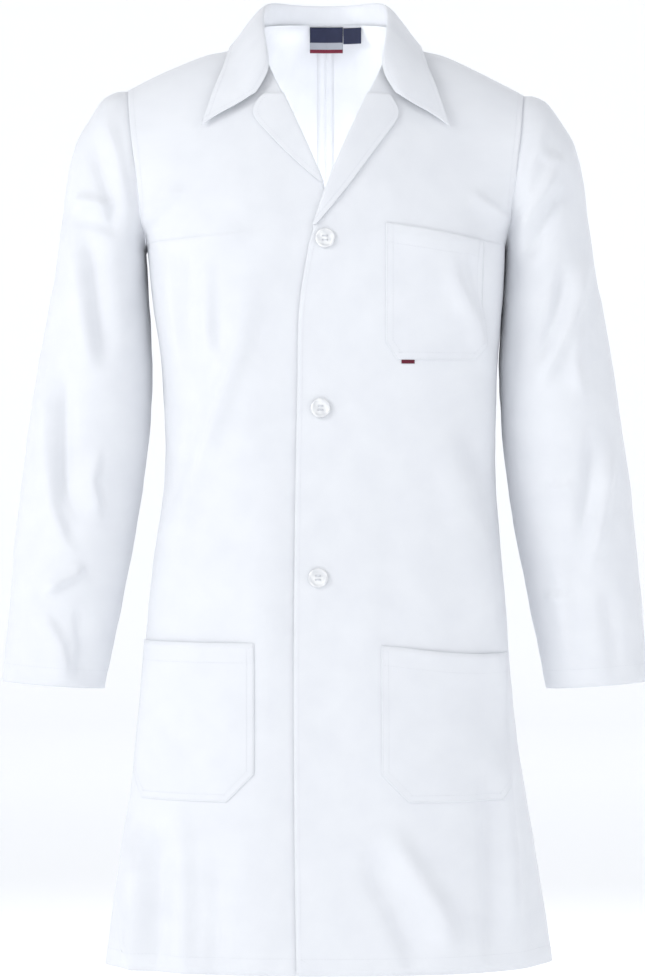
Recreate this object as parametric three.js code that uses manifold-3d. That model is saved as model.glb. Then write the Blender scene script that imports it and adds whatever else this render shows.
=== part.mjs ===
// A knee-length lab coat, buttoned and hanging as if on a wearer. Millimetres, +Z up.
// The front faces -Y and the wearer's left is +X. Heights are measured from the hem while the pieces are
// made, and the finished group is moved so that the middle of the back neck seam is the origin.
import * as THREE from "three";
import { mergeVertices } from "three/addons/utils/BufferGeometryUtils.js";
import Module from "manifold-3d";

const wasm = await Module();
wasm.setup();

// ---- Driving dimensions -------------------------------------------------------------------------------

// Body of the coat
const UNDERARM_HEIGHT = 778; // hem to the top of the side seam
const SHOULDER_TIP_RISE = 171; // top of the armhole above the underarm
const SHOULDER_HALF = 217; // centre to the top of the armhole
const SHOULDER_DROP = 75; // neck end of the shoulder seam above its tip
const NECK_HALF = 70; // centre to the neck end of the shoulder seam
const BACK_NECK_RISE = 12; // back neck seam above the neck end of the shoulder seam
const BACK_NECK_DEPTH = 72; // back neck seam behind the shoulder seam
const UNDERARM_HALF = 196; // centre to the top of the side seam
const ARMHOLE_DEPTH = 66; // armhole, front or back, from the plane of the side seams
const WAIST_HALF = 181;
const HEM_HALF = 243;
const CHEST_FRONT = 128; // centre front from the plane of the side seams, at the underarm
const CHEST_BACK = 112;
const HEM_FRONT = 150;
const HEM_BACK = 150;

// Closure and lapels
const LAP = 25; // each front passes the line of buttons by this much
const CLOSURE_BOW = 8.5; // the line of buttons hangs this far to the wearer's right at most
const CLOSURE_BOW_HEIGHT = 300; // height of the most bowed point
const LAPEL_WIDTH = 47;
const LAPEL_CORNER_DROP = 99; // below the neck end of the shoulder seam
const ROLL_TOP_DROP = 69; // where the collar meets the rolled edge of the lapel
const FACING_WIDTH = 72;
const INTERLINING_WIDTH = 44;

// Buttons
const BUTTON_RADIUS = 10.5;
const BUTTON_THICKNESS = 3;
const BUTTON_SPACING = 181;
const TOP_BUTTON_RISE = 6; // above the underarm
const BUTTONHOLE_LENGTH = 25;
const BUTTONHOLE_WIDTH = 3;
const SHANK_RADIUS = 1.1;
const STITCH_HOLE_RADIUS = 1;
const STITCH_RADIUS = 0.55;
const STITCH_HOLE_PITCH = 2.3; // centre of the button to each stitch hole, along both directions

// Sleeves
const SLEEVE_DROP = 647; // shoulder tip to cuff, straight down
const SLEEVE_REACH = 138; // shoulder tip to the outside of the cuff, sideways
const CUFF_HALF_WIDTH = 56;
const CUFF_HALF_DEPTH = 47;
const UPPER_SLEEVE_HALF_DEPTH = 68;

// Pockets
const CHEST_POCKET_WIDTH = 104;
const CHEST_POCKET_HEIGHT = 146;
const CHEST_POCKET_IN = 64; // centre to its inner edge
const CHEST_POCKET_ABOVE_UNDERARM = 23;
const CHEST_POCKET_SLOPE = 0.16; // its mouth falls away towards the armhole
const HIP_POCKET_WIDTH = 172;
const HIP_POCKET_HEIGHT = 169;
const HIP_POCKET_TOP = 352;
const HIP_POCKET_IN = 68; // line of buttons to its inner edge
const HIP_POCKET_CLIP = 30; // its lower corners are cut off by this much

// Collar
const STAND_HEIGHT = 24; // back neck seam to the fold
const LEAF_FALL = 52; // fold to the outer edge, at the back
const COLLAR_POINT_HALF = 132; // centre to each point
const COLLAR_POINT_DROP = 118; // below the neck end of the shoulder seam
const GORGE_HALF = 74; // centre to where the collar's end meets the lapel
const GORGE_DROP = 88;

// Labels
const NECK_LABEL = { width: 37, height: 29, x: 1 };
const SIZE_LABEL = { width: 20, height: 18 };
const LABEL_THICKNESS = 0.6;
const LABEL_DROP = 2.5; // neck seam to the top of the labels
const LABEL_CLEARANCE = 1.3;
const POCKET_TAB = { width: 14, height: 4, x: 88 };

// Cloth thicknesses and the clearances between layers
const CLOTH = 1.2;
const FACING_CLOTH = 1;
const INTERLINING = 0.4;
const COLLAR_CLOTH = 1;
const LAYER_GAP = 0.35;
const SEAM_GAP = 0.5; // between two panels that are sewn edge to edge
const LAP_CLEARANCE = 4.2; // outer front to the front that it covers
const BUTTON_CLEARANCE = 1.4;
const ARMHOLE_GAP = 1.8;
const VENT_HEIGHT = 400;
const VENT_UNDERLAP = 40;

// ---- Derived heights ----------------------------------------------------------------------------------

const SHOULDER_TIP_HEIGHT = UNDERARM_HEIGHT + SHOULDER_TIP_RISE;
const NECK_POINT_HEIGHT = SHOULDER_TIP_HEIGHT + SHOULDER_DROP;
const BACK_NECK_HEIGHT = NECK_POINT_HEIGHT + BACK_NECK_RISE;
const LAPEL_CORNER_HEIGHT = NECK_POINT_HEIGHT - LAPEL_CORNER_DROP;
const ROLL_TOP_HEIGHT = NECK_POINT_HEIGHT - ROLL_TOP_DROP;
const COLLAR_POINT_HEIGHT = NECK_POINT_HEIGHT - COLLAR_POINT_DROP;
const GORGE_HEIGHT = NECK_POINT_HEIGHT - GORGE_DROP;
const TOP_BUTTON_HEIGHT = UNDERARM_HEIGHT + TOP_BUTTON_RISE;
const SHOULDER_SLOPE = SHOULDER_DROP / (SHOULDER_HALF - NECK_HALF);
const RIDGE_APEX = SHOULDER_TIP_HEIGHT + SHOULDER_HALF * SHOULDER_SLOPE;
const FRONT = -1;
const BACK = 1;
const mix = THREE.MathUtils.lerp;
const smooth = (value, from, to) => THREE.MathUtils.smoothstep(value, from, to);
const vector = (x, y, z) => new THREE.Vector3(x, y, z);

// ---- The shape of the body ----------------------------------------------------------------------------

// Horizontal sections from hem to underarm: share of the height, half width, front and back depth, and
// squareness, the power of the superellipse that each section is a quarter of.
// The skirt narrows from the hem to the waist by the shares given.
const skirt = (level, width, front, back, squareness) => [
  level,
  mix(HEM_HALF, WAIST_HALF, width),
  mix(HEM_FRONT, CHEST_FRONT, front),
  mix(HEM_BACK, CHEST_BACK, back),
  squareness,
];
const SECTIONS = [
  skirt(0, 0, 0, 0, 2.3),
  skirt(0.18, 0.33, 0.35, 0.35, 2.35),
  skirt(0.32, 0.58, 0.55, 0.6, 2.4),
  skirt(0.54, 0.8, 0.9, 0.95, 2.5),
  [0.7, WAIST_HALF, CHEST_FRONT - 5, CHEST_BACK - 7, 2.6],
  [0.85, mix(WAIST_HALF, UNDERARM_HALF, 0.25), CHEST_FRONT - 4, CHEST_BACK - 5, 2.8],
  [0.95, UNDERARM_HALF - 2, CHEST_FRONT, CHEST_BACK, 2.95],
  [1, UNDERARM_HALF, CHEST_FRONT, CHEST_BACK, 2.95],
];

// Monotone cubic interpolation of a column of rows that begin with their position.
function along(rows, at, column) {
  const last = rows.length - 1;
  let i = 0;
  while (i < last - 1 && at > rows[i + 1][0]) i += 1;
  const slope = (k) => (rows[k + 1][column] - rows[k][column]) / (rows[k + 1][0] - rows[k][0]);
  const tangent = (k) => {
    if (k === 0) return slope(0);
    if (k === last) return slope(last - 1);
    const before = slope(k - 1);
    const after = slope(k);
    return before * after <= 0 ? 0 : (2 * before * after) / (before + after);
  };
  const width = rows[i + 1][0] - rows[i][0];
  const u = THREE.MathUtils.clamp((at - rows[i][0]) / width, 0, 1);
  const square = u * u;
  const cube = square * u;
  return (
    rows[i][column] * (2 * cube - 3 * square + 1) +
    rows[i + 1][column] * (3 * square - 2 * cube) +
    width * (tangent(i) * (cube - 2 * square + u) + tangent(i + 1) * (cube - square))
  );
}

// The armhole is a leaning ellipse: turn 0 is the underarm and turn 1 is the shoulder tip.
function armhole(side, turn) {
  const angle = turn * Math.PI;
  return vector(
    mix(UNDERARM_HALF, SHOULDER_HALF, (1 - Math.cos(angle)) / 2),
    side * ARMHOLE_DEPTH * Math.sin(angle),
    mix(UNDERARM_HEIGHT, SHOULDER_TIP_HEIGHT, (1 - Math.cos(angle)) / 2),
  );
}

// One row of the front or back, from the centre line to the side. Level 0 is the hem, 1 the underarm and
// 2 the shoulder seam. Above the underarm a row ends on the armhole, and its centre rolls over the shoulder.
function rowAt(side, level) {
  if (level <= 1) {
    const height = level * UNDERARM_HEIGHT;
    const depth = along(SECTIONS, level, side === FRONT ? 2 : 3);
    return {
      centre: vector(0, side * depth, height),
      edge: vector(along(SECTIONS, level, 1), 0, height),
      power: 2 / along(SECTIONS, level, 4),
      sweep: Math.PI / 2,
    };
  }
  const turn = Math.min(level - 1, 1);
  const roll = side === FRONT ? 1.7 : 1.9;
  const rise = Math.pow(Math.sin((turn * Math.PI) / 2), 2 / roll);
  const depth = Math.pow(Math.cos((turn * Math.PI) / 2), 2 / roll);
  const chest = side === FRONT ? CHEST_FRONT : CHEST_BACK;
  return {
    centre: vector(0, side * chest * depth, mix(UNDERARM_HEIGHT, RIDGE_APEX, rise)),
    edge: armhole(side, turn),
    power: 2 / mix(SECTIONS[SECTIONS.length - 1][4], 2.2, turn),
    sweep: mix(Math.PI / 2, 0.6, turn),
  };
}

// A point of a row at a distance x from the centre plane; x may be negative.
function onRow(row, x) {
  const reach = Math.pow(Math.sin(row.sweep), row.power);
  const share = Math.min(Math.abs(x) / row.edge.x, 1);
  const angle = Math.asin(Math.pow(share * reach, 1 / row.power));
  const end = Math.pow(Math.cos(row.sweep), row.power);
  const depth = (Math.pow(Math.cos(angle), row.power) - end) / (1 - end);
  return vector(x, mix(row.edge.y, row.centre.y, depth), mix(row.centre.z, row.edge.z, share));
}

// The level whose row passes through a given x and height.
function levelAt(side, x, height) {
  let low = 0;
  let high = 2;
  for (let i = 0; i < 40; i += 1) {
    const middle = (low + high) / 2;
    if (onRow(rowAt(side, middle), x).z < height) low = middle;
    else high = middle;
  }
  return (low + high) / 2;
}

// The body's surface at x and height, moved outwards by a distance along its normal.
function onBody(side, x, height, lift = 0) {
  const step = 2;
  const at = (px, pz) => onRow(rowAt(side, levelAt(side, px, pz)), px);
  const point = at(x, height);
  const across = at(x + step, height).sub(at(x - step, height));
  const up = at(x, height + step).sub(at(x, height - step));
  const normal = across.cross(up).normalize();
  if (side === BACK) normal.negate();
  return point.addScaledVector(normal, lift);
}

// Points evenly spaced along a polyline.
function evenly(points, count) {
  const path = new THREE.CatmullRomCurve3(points, false, "centripetal");
  path.arcLengthDivisions = points.length * 3;
  return path.getSpacedPoints(count - 1);
}

// A row of the panel from one x to another, resampled so that its points are evenly spaced.
function rowPoints(side, level, fromX, toX, count) {
  const row = rowAt(side, level);
  const fine = [];
  const samples = 40;
  for (let i = 0; i <= samples; i += 1) {
    const turn = Math.sin((i / samples) * (Math.PI / 2));
    fine.push(onRow(row, mix(fromX, toX, turn)));
  }
  return evenly(fine, count);
}

// A point at a distance along a level row, measured round the body from the centre line.
function atGirth(side, height, girth) {
  const row = rowAt(side, height / UNDERARM_HEIGHT);
  const samples = 120;
  let last = onRow(row, 0);
  let walked = 0;
  for (let i = 1; i <= samples; i += 1) {
    const next = onRow(row, row.edge.x * Math.sin((i / samples) * (Math.PI / 2)));
    const length = next.distanceTo(last);
    if (walked + length >= girth) return last.lerp(next, (girth - walked) / length);
    walked += length;
    last = next;
  }
  return last;
}

// ---- From grids of points to closed cloth pieces --------------------------------------------------------

// Cloth of a given thickness on a grid of points. Rows run along one direction and points along the other,
// and the outward side is (next point) x (next row). keep(i, j) may leave cells out, which gives steps,
// flaps and cut corners. low and high are the cloth's two faces, measured outwards from the grid.
function cloth(grid, low, high, keep = () => true, closed = false) {
  const rows = grid.length;
  const points = grid[0].length;
  const cells = closed ? points : points - 1;
  const normals = grid.map((row) => row.map(() => vector(0, 0, 0)));
  const kept = [];
  for (let i = 0; i < rows - 1; i += 1) {
    for (let j = 0; j < cells; j += 1) {
      if (!keep(i, j)) continue;
      const k = (j + 1) % points;
      kept.push([i, j, k]);
      const across = grid[i][k].clone().sub(grid[i][j]).add(grid[i + 1][k]).sub(grid[i + 1][j]);
      const up = grid[i + 1][j].clone().sub(grid[i][j]).add(grid[i + 1][k]).sub(grid[i][k]);
      const normal = across.cross(up).normalize();
      for (const [a, b] of [[i, j], [i, k], [i + 1, j], [i + 1, k]]) normals[a][b].add(normal);
    }
  }
  const positions = [];
  const corner = (a, b, lift) => {
    const p = grid[a][b];
    const n = normals[a][b].clone();
    // Where two panels meet, the cut edge stands square to the seam.
    if (Math.abs(p.y) < SEAM_GAP) n.y = 0;
    if (Math.abs(p.x) < SEAM_GAP) n.x = 0;
    return p.clone().addScaledVector(n.normalize(), lift);
  };
  const triangle = (...three) => three.forEach((p) => positions.push(p.x, p.y, p.z));
  const edges = new Map();
  for (const [i, j, k] of kept) {
    const ring = [[i, j], [i, k], [i + 1, k], [i + 1, j]];
    const top = ring.map(([a, b]) => corner(a, b, high));
    const bottom = ring.map(([a, b]) => corner(a, b, low));
    triangle(top[0], top[1], top[2]);
    triangle(top[0], top[2], top[3]);
    triangle(bottom[0], bottom[2], bottom[1]);
    triangle(bottom[0], bottom[3], bottom[2]);
    ring.forEach((from, n) => {
      const to = ring[(n + 1) % 4];
      const back = `${to}>${from}`;
      if (edges.has(back)) edges.delete(back);
      else edges.set(`${from}>${to}`, [from, to]);
    });
  }
  for (const [from, to] of edges.values()) {
    const [a, b] = [corner(...from, high), corner(...to, high)];
    const [c, d] = [corner(...to, low), corner(...from, low)];
    triangle(a, d, c);
    triangle(a, c, b);
  }
  const geometry = new THREE.BufferGeometry();
  geometry.setAttribute("position", new THREE.Float32BufferAttribute(positions, 3));
  return mergeVertices(geometry, 1e-4);
}

// The wearer's right side is the mirror of the left, with each row turned round to keep its outward side.
const mirrored = (grid) => grid.map((row) => row.map((p) => vector(-p.x, p.y, p.z)).reverse());
const turned = (grid) => grid.map((row) => [...row].reverse());

function solidOf(geometry) {
  const bare = new THREE.BufferGeometry();
  bare.setAttribute("position", geometry.getAttribute("position"));
  bare.setIndex(geometry.index);
  const merged = mergeVertices(bare, 1e-4);
  return new wasm.Manifold(
    new wasm.Mesh({
      numProp: 3,
      vertProperties: merged.getAttribute("position").array,
      triVerts: new Uint32Array(merged.index.array),
    }),
  );
}

function geometryOf(solid) {
  const mesh = solid.getMesh();
  const positions = new Float32Array(mesh.numVert * 3);
  for (let i = 0; i < mesh.numVert; i += 1) {
    positions.set(mesh.vertProperties.subarray(i * mesh.numProp, i * mesh.numProp + 3), i * 3);
  }
  const geometry = new THREE.BufferGeometry();
  geometry.setAttribute("position", new THREE.BufferAttribute(positions, 3));
  geometry.setIndex(new THREE.BufferAttribute(mesh.triVerts, 1));
  return geometry;
}

const cut = (geometry, tools) =>
  geometryOf(tools.reduce((solid, tool) => solid.subtract(solidOf(tool)), solidOf(geometry)));
const join = (geometries) => geometryOf(geometries.map(solidOf).reduce((a, b) => a.add(b)));

// ---- The front edge: lap below, rolled lapel above ------------------------------------------------------

// The line of buttons, which hangs in a shallow bow from a little above the top button.
const CLOSURE_TOP = TOP_BUTTON_HEIGHT + 16;
function closureLine(height) {
  const share = (height - CLOSURE_BOW_HEIGHT) / (CLOSURE_TOP - CLOSURE_BOW_HEIGHT);
  return -CLOSURE_BOW * (1 - share * share);
}

// The edge of the left front (hand = 1) or, mirrored, of the right front (hand = -1): the lap up to the
// break of the lapel, then the roll of the lapel, then the neckline up to the shoulder seam.
function frontEdge(hand, height) {
  const start = UNDERARM_HEIGHT - 60;
  const lap = hand * closureLine(Math.min(height, UNDERARM_HEIGHT)) - LAP;
  const roll = [
    [start, lap],
    [UNDERARM_HEIGHT, -17],
    [mix(UNDERARM_HEIGHT, ROLL_TOP_HEIGHT, 0.3), -1],
    [mix(UNDERARM_HEIGHT, ROLL_TOP_HEIGHT, 0.62), 22],
    [ROLL_TOP_HEIGHT, 52],
    [mix(ROLL_TOP_HEIGHT, NECK_POINT_HEIGHT, 0.5), NECK_HALF - 5],
    [NECK_POINT_HEIGHT, NECK_HALF],
  ];
  return height <= start ? lap : along(roll, height, 1);
}

// Where a row crosses the front edge.
function edgeOnRow(hand, level) {
  const row = rowAt(FRONT, level);
  let x = frontEdge(hand, row.centre.z);
  for (let i = 0; i < 30; i += 1) x = mix(x, frontEdge(hand, onRow(row, x).z), 0.5);
  return x;
}

// The height at which the edge passes a distance from the centre plane.
function edgeHeight(x) {
  let low = UNDERARM_HEIGHT;
  let high = ROLL_TOP_HEIGHT;
  for (let i = 0; i < 30; i += 1) {
    const middle = (low + high) / 2;
    if (frontEdge(1, middle) < x) low = middle;
    else high = middle;
  }
  return high;
}

// Each lapel starts at this height. The right one starts where the left front frees it.
const LAPEL_FREE = 4; // both edges are this far from the centre plane there
const LAPEL_START = { 1: UNDERARM_HEIGHT + 16, [-1]: edgeHeight(LAPEL_FREE) };

// How far a lapel reaches over the chest from its roll. It starts as a point on its first row.
const LAPEL_SHAPE = [
  [0, 1.5],
  [0.15, 0.25 * LAPEL_WIDTH],
  [0.36, 0.49 * LAPEL_WIDTH],
  [0.6, 0.69 * LAPEL_WIDTH],
  [1, LAPEL_WIDTH],
];
function lapelReach(hand, height) {
  const start = lapelFoot(hand);
  const share = (height - start) / (LAPEL_CORNER_HEIGHT - start);
  if (share <= 1) return along(LAPEL_SHAPE, Math.max(share, 0), 1);
  const above = (height - LAPEL_CORNER_HEIGHT) / (ROLL_TOP_HEIGHT - LAPEL_CORNER_HEIGHT);
  return mix(LAPEL_WIDTH, 3, Math.min(above, 1));
}

const SKIRT_ROWS = 12;
const BODICE_ROWS = 14;
const PANEL_POINTS = 12;
const FLAP_POINTS = 4;
const BEND_POINTS = 3;
// The rows of every panel are evenly spread, with one more where the right lapel starts.
const ROW_SPACE = 0.012; // rows closer than this would make slivers
const lapelLevel = levelAt(FRONT, LAPEL_FREE, LAPEL_START[-1]);
const evenLevels = [];
for (let i = 0; i < SKIRT_ROWS; i += 1) evenLevels.push(i / SKIRT_ROWS);
for (let i = 0; i <= BODICE_ROWS; i += 1) evenLevels.push(1 + i / BODICE_ROWS);
const levels = [lapelLevel, ...evenLevels.filter((level) => Math.abs(level - lapelLevel) > ROW_SPACE)];
levels.sort((a, b) => a - b);

// The front that the other covers lies deeper by the clearance of the lap.
const coverDepth = (x) => LAP_CLEARANCE * smooth(x, -80, -36);
const sunk = (p) => p.clone().setY(p.y + coverDepth(-p.x) * smooth(-p.y, 20, 70));

// The turned part of a lapel, from its outer edge to the roll. All its layers are nested round one bend,
// whose centre stands this far out from the chest.
const BEND_RADIUS = 0.5;
function lapelPoints(hand, level) {
  const x = edgeOnRow(hand, level);
  const height = onRow(rowAt(FRONT, level), x).z;
  const reach = lapelReach(hand, height);
  const points = [];
  for (let i = 0; i < FLAP_POINTS; i += 1) {
    points.push(onBody(FRONT, x + reach * (1 - i / FLAP_POINTS), height, 2 * BEND_RADIUS));
  }
  const root = onBody(FRONT, x, height);
  const out = onBody(FRONT, x, height, 1).sub(root);
  const inwards = onBody(FRONT, x - 1, height).sub(root).normalize();
  for (let i = 0; i < BEND_POINTS; i += 1) {
    const angle = (i / BEND_POINTS) * Math.PI;
    points.push(
      root
        .clone()
        .addScaledVector(out, BEND_RADIUS * (1 + Math.cos(angle)))
        .addScaledVector(inwards, BEND_RADIUS * Math.sin(angle)),
    );
  }
  return points;
}

// True between two levels where the edge is rolled into a lapel.
const rollHeight = (hand, level) => onRow(rowAt(FRONT, level), edgeOnRow(hand, level)).z;
function hasLapel(hand, index) {
  if (index < 0 || index + 1 >= levels.length) return false;
  const starts = rollHeight(hand, levels[index]) >= LAPEL_START[hand] - 1;
  return starts && rollHeight(hand, levels[index + 1]) <= ROLL_TOP_HEIGHT + 4;
}

// The height of a lapel's first row.
function lapelFoot(hand) {
  return rollHeight(hand, levels.find((level, index) => hasLapel(hand, index)));
}

// A front-edge grid: lapel, bend, then the front from its edge. reach(level) is how far across it goes.
const TURNED = FLAP_POINTS + BEND_POINTS;
function frontGrid(hand, reach, points) {
  const grid = levels.map((level, index) => {
    const start = edgeOnRow(hand, level);
    const end = reach(level, start);
    const body = rowPoints(FRONT, level, start, end, points);
    if (end === rowAt(FRONT, level).edge.x) body[points - 1].y -= SEAM_GAP / 2;
    if (index === levels.length - 1) body.forEach((p) => p.setY(-SEAM_GAP / 2));
    const rolled = hasLapel(hand, index) || hasLapel(hand, index - 1);
    const lapel = rolled ? lapelPoints(hand, level) : Array(TURNED).fill(body[0]);
    return [...lapel, ...body];
  });
  return hand > 0 ? grid : grid.map((row) => row.map(sunk));
}
const frontKeep = (hand) => (i, j) => j >= TURNED || hasLapel(hand, i);

// A mirrored grid is turned round, so its cells are counted from the other end.
function handed(hand, grid, low, high, keep = () => true) {
  if (hand > 0) return cloth(grid, low, high, keep);
  const cells = grid[0].length - 1;
  return cloth(mirrored(grid), low, high, (i, j) => keep(i, cells - 1 - j));
}

const fullWidth = (level) => rowAt(FRONT, level).edge.x;
const frontFaces = [-CLOTH, 0];
const interliningFaces = [-CLOTH - LAYER_GAP - INTERLINING, -CLOTH - LAYER_GAP];
const facingTop = interliningFaces[0] - LAYER_GAP;
const facingFaces = [facingTop - FACING_CLOTH, facingTop];

const frontPanel = (hand) =>
  handed(hand, frontGrid(hand, fullWidth, PANEL_POINTS), ...frontFaces, frontKeep(hand));
const facingPanel = (hand) =>
  handed(
    hand,
    frontGrid(hand, (level, start) => mix(start + FACING_WIDTH, start + 12, smooth(level, 1.5, 2)), 5),
    ...facingFaces,
    frontKeep(hand),
  );

// The interlining stiffens the strip of the buttons and buttonholes, from above the hem to the lapel.
function interliningPanel(hand) {
  const inset = 4;
  const rows = levels.filter((level) => level > 0.02 && level <= 1);
  const grid = rows.map((level) => {
    const start = edgeOnRow(hand, level) + inset;
    return rowPoints(FRONT, level, start, start + INTERLINING_WIDTH, 4);
  });
  return handed(hand, hand > 0 ? grid : grid.map((row) => row.map(sunk)), ...interliningFaces);
}

// ---- Back ---------------------------------------------------------------------------------------------

// The back neckline runs from the centre-back seam round to the neck end of the shoulder seam.
const BACK_NECK = new THREE.CatmullRomCurve3([
  vector(0, BACK_NECK_DEPTH, BACK_NECK_HEIGHT),
  vector(0.5 * NECK_HALF, 0.92 * BACK_NECK_DEPTH, BACK_NECK_HEIGHT - 1),
  vector(0.84 * NECK_HALF, 0.62 * BACK_NECK_DEPTH, BACK_NECK_HEIGHT - 4),
  vector(NECK_HALF, SEAM_GAP / 2, NECK_POINT_HEIGHT),
]);
const NECK_CELLS = 4;
const NECK_FALL = 75; // below the neckline each row lies lower by this much of a whole level

// The left back, from the centre-back seam to the side. The top row follows the neckline and then the
// shoulder seam, and the rows below it ease from that shape into the plain sections of the body.
function backGrid() {
  const side = PANEL_POINTS - 1;
  const tip = armhole(BACK, 1);
  const neckPoint = vector(NECK_HALF, 0, NECK_POINT_HEIGHT);
  const top = [];
  for (let j = 0; j < NECK_CELLS; j += 1) top.push(BACK_NECK.getPointAt(j / NECK_CELLS));
  for (let j = NECK_CELLS; j <= side; j += 1) {
    top.push(neckPoint.clone().lerp(tip, (j - NECK_CELLS) / (side - NECK_CELLS)));
  }
  const plainTop = top.map((p) => onRow(rowAt(BACK, 2), p.x));
  return levels.map((level) => {
    const row = rowAt(BACK, level);
    const even = rowPoints(BACK, level, 0, row.edge.x, PANEL_POINTS);
    const ease = smooth(level, 1, 2);
    const points = even.map((p, j) => {
      const x = mix(p.x, (row.edge.x * top[j].x) / tip.x, ease * ease);
      const drop = top[j].clone().sub(plainTop[j]).multiplyScalar(Math.pow(Math.max(level - 1, 0), 2.2));
      const point = onRow(row, x).add(drop);
      const underNeck = smooth(NECK_CELLS - j, 0, 2);
      const highest = top[j].z - (2 - level) * NECK_FALL;
      return point.setZ(mix(point.z, Math.min(point.z, highest), underNeck));
    });
    if (level > 1.999) points.forEach((p, j) => j >= NECK_CELLS && p.setY(0));
    points.forEach((p) => {
      if (p.x < 0.01) p.x = SEAM_GAP / 2;
      if (p.y < SEAM_GAP / 2) p.y = SEAM_GAP / 2;
    });
    return points;
  });
}

// A point on a panel's own facets at x and height, moved straight out by a clearance.
function onPanel(grid, side, x, height, lift = 0) {
  const rows = grid.map((row) => {
    const j = Math.max(row.findIndex((p, k) => k > 0 && p.x >= x) - 1, 0);
    const [a, b] = [row[j], row[j + 1]];
    return a.clone().lerp(b, THREE.MathUtils.clamp((x - a.x) / (b.x - a.x), 0, 1));
  });
  const i = THREE.MathUtils.clamp(rows.findIndex((p) => p.z >= height), 1, rows.length - 1);
  const [below, above] = [rows[i - 1], rows[i]];
  const share = THREE.MathUtils.clamp((height - below.z) / (above.z - below.z), 0, 1);
  return vector(x, mix(below.y, above.y, share) + side * lift, height);
}
const BACK_CELLS = backGrid();
const onBack = (x, height, lift) => onPanel(BACK_CELLS, BACK, x, height, lift);

const backPanel = (hand) => {
  const grid = backGrid();
  return hand > 0
    ? cloth(turned(grid), -CLOTH, 0)
    : cloth(turned(mirrored(grid)), -CLOTH, 0);
};

// The right back is cut wider below the vent's top, and the extra lies under the left back.
function ventUnderlap() {
  const rows = levels.filter((level) => level * UNDERARM_HEIGHT <= VENT_HEIGHT);
  const depth = CLOTH + LAYER_GAP;
  const grid = rows.map((level) => {
    const row = rowAt(BACK, level);
    return [-14, -6, -1, VENT_UNDERLAP / 2, VENT_UNDERLAP].map((x) => {
      const p = onRow(row, x);
      p.y -= depth * smooth(x, -6, -1);
      return p;
    });
  });
  return cloth(turned(grid), -CLOTH, 0);
}

// ---- Sleeves ------------------------------------------------------------------------------------------

const SLEEVE_POINTS = 18;
const SLEEVE_ROWS = 17;
const CUFF_HEIGHT = SHOULDER_TIP_HEIGHT - SLEEVE_DROP;
const sleeveTop = vector(SHOULDER_HALF + ARMHOLE_GAP, 0, SHOULDER_TIP_HEIGHT);
const sleeveBottom = vector(UNDERARM_HALF + ARMHOLE_GAP, 0, UNDERARM_HEIGHT);
const cuffOut = vector(SHOULDER_HALF + SLEEVE_REACH, 0, CUFF_HEIGHT + 4);
const cuffIn = vector(cuffOut.x - 2 * CUFF_HALF_WIDTH, 0, CUFF_HEIGHT - 4);

// The outside of the sleeve leaves the shoulder sideways, rounds over the cap and falls to the cuff.
const OUTER_LINE = new THREE.CatmullRomCurve3(
  [
    sleeveTop,
    vector(sleeveTop.x + 24, 0, sleeveTop.z - 11),
    vector(sleeveTop.x + 46, 0, sleeveTop.z - 38),
    vector(sleeveTop.x + 64, 0, sleeveTop.z - 93),
    vector(sleeveTop.x + 75, 0, sleeveTop.z - 175),
    vector(sleeveTop.x + 95, 0, sleeveTop.z - 285),
    vector(mix(sleeveTop.x, cuffOut.x, 0.86), 0, mix(sleeveTop.z, cuffOut.z, 0.68)),
    cuffOut,
  ],
  false,
  "centripetal",
);
// The inside of the sleeve drops from the underarm beside the body before it leans out to the cuff.
const INNER_LINE = new THREE.CatmullRomCurve3(
  [
    sleeveBottom,
    vector(sleeveBottom.x - 3, 0, sleeveBottom.z - 50),
    vector(sleeveBottom.x - 7, 0, sleeveBottom.z - 120),
    vector(sleeveBottom.x - 5, 0, sleeveBottom.z - 185),
    vector(mix(sleeveBottom.x, cuffIn.x, 0.2), 0, mix(sleeveBottom.z, cuffIn.z, 0.62)),
    cuffIn,
  ],
  false,
  "centripetal",
);
const SLEEVE_DEPTH = [
  [0, ARMHOLE_DEPTH],
  [0.25, UPPER_SLEEVE_HALF_DEPTH],
  [0.6, mix(UPPER_SLEEVE_HALF_DEPTH, CUFF_HALF_DEPTH, 0.45)],
  [1, CUFF_HALF_DEPTH],
];

function sleevePanel(hand) {
  const grid = [];
  for (let i = 0; i < SLEEVE_ROWS; i += 1) {
    const share = i / (SLEEVE_ROWS - 1);
    // The cap is longer than the underarm, so the outside starts off in longer steps.
    const outer = OUTER_LINE.getPointAt(mix(share, Math.pow(share, 0.85), 1 - share));
    const inner = INNER_LINE.getPointAt(share);
    const depth = along(SLEEVE_DEPTH, share, 1);
    const row = [];
    for (let j = 0; j < SLEEVE_POINTS; j += 1) {
      const angle = (j / SLEEVE_POINTS) * 2 * Math.PI;
      const point = outer.clone().add(inner).multiplyScalar(0.5);
      point.addScaledVector(outer.clone().sub(inner), Math.cos(angle) / 2);
      point.y += depth * Math.sin(angle);
      row.push(vector(hand * point.x, point.y, point.z));
    }
    grid.push(row);
  }
  const rows = hand > 0 ? [...grid].reverse() : grid;
  return cloth(rows, -CLOTH, 0, () => true, true);
}

// ---- Collar -------------------------------------------------------------------------------------------

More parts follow.
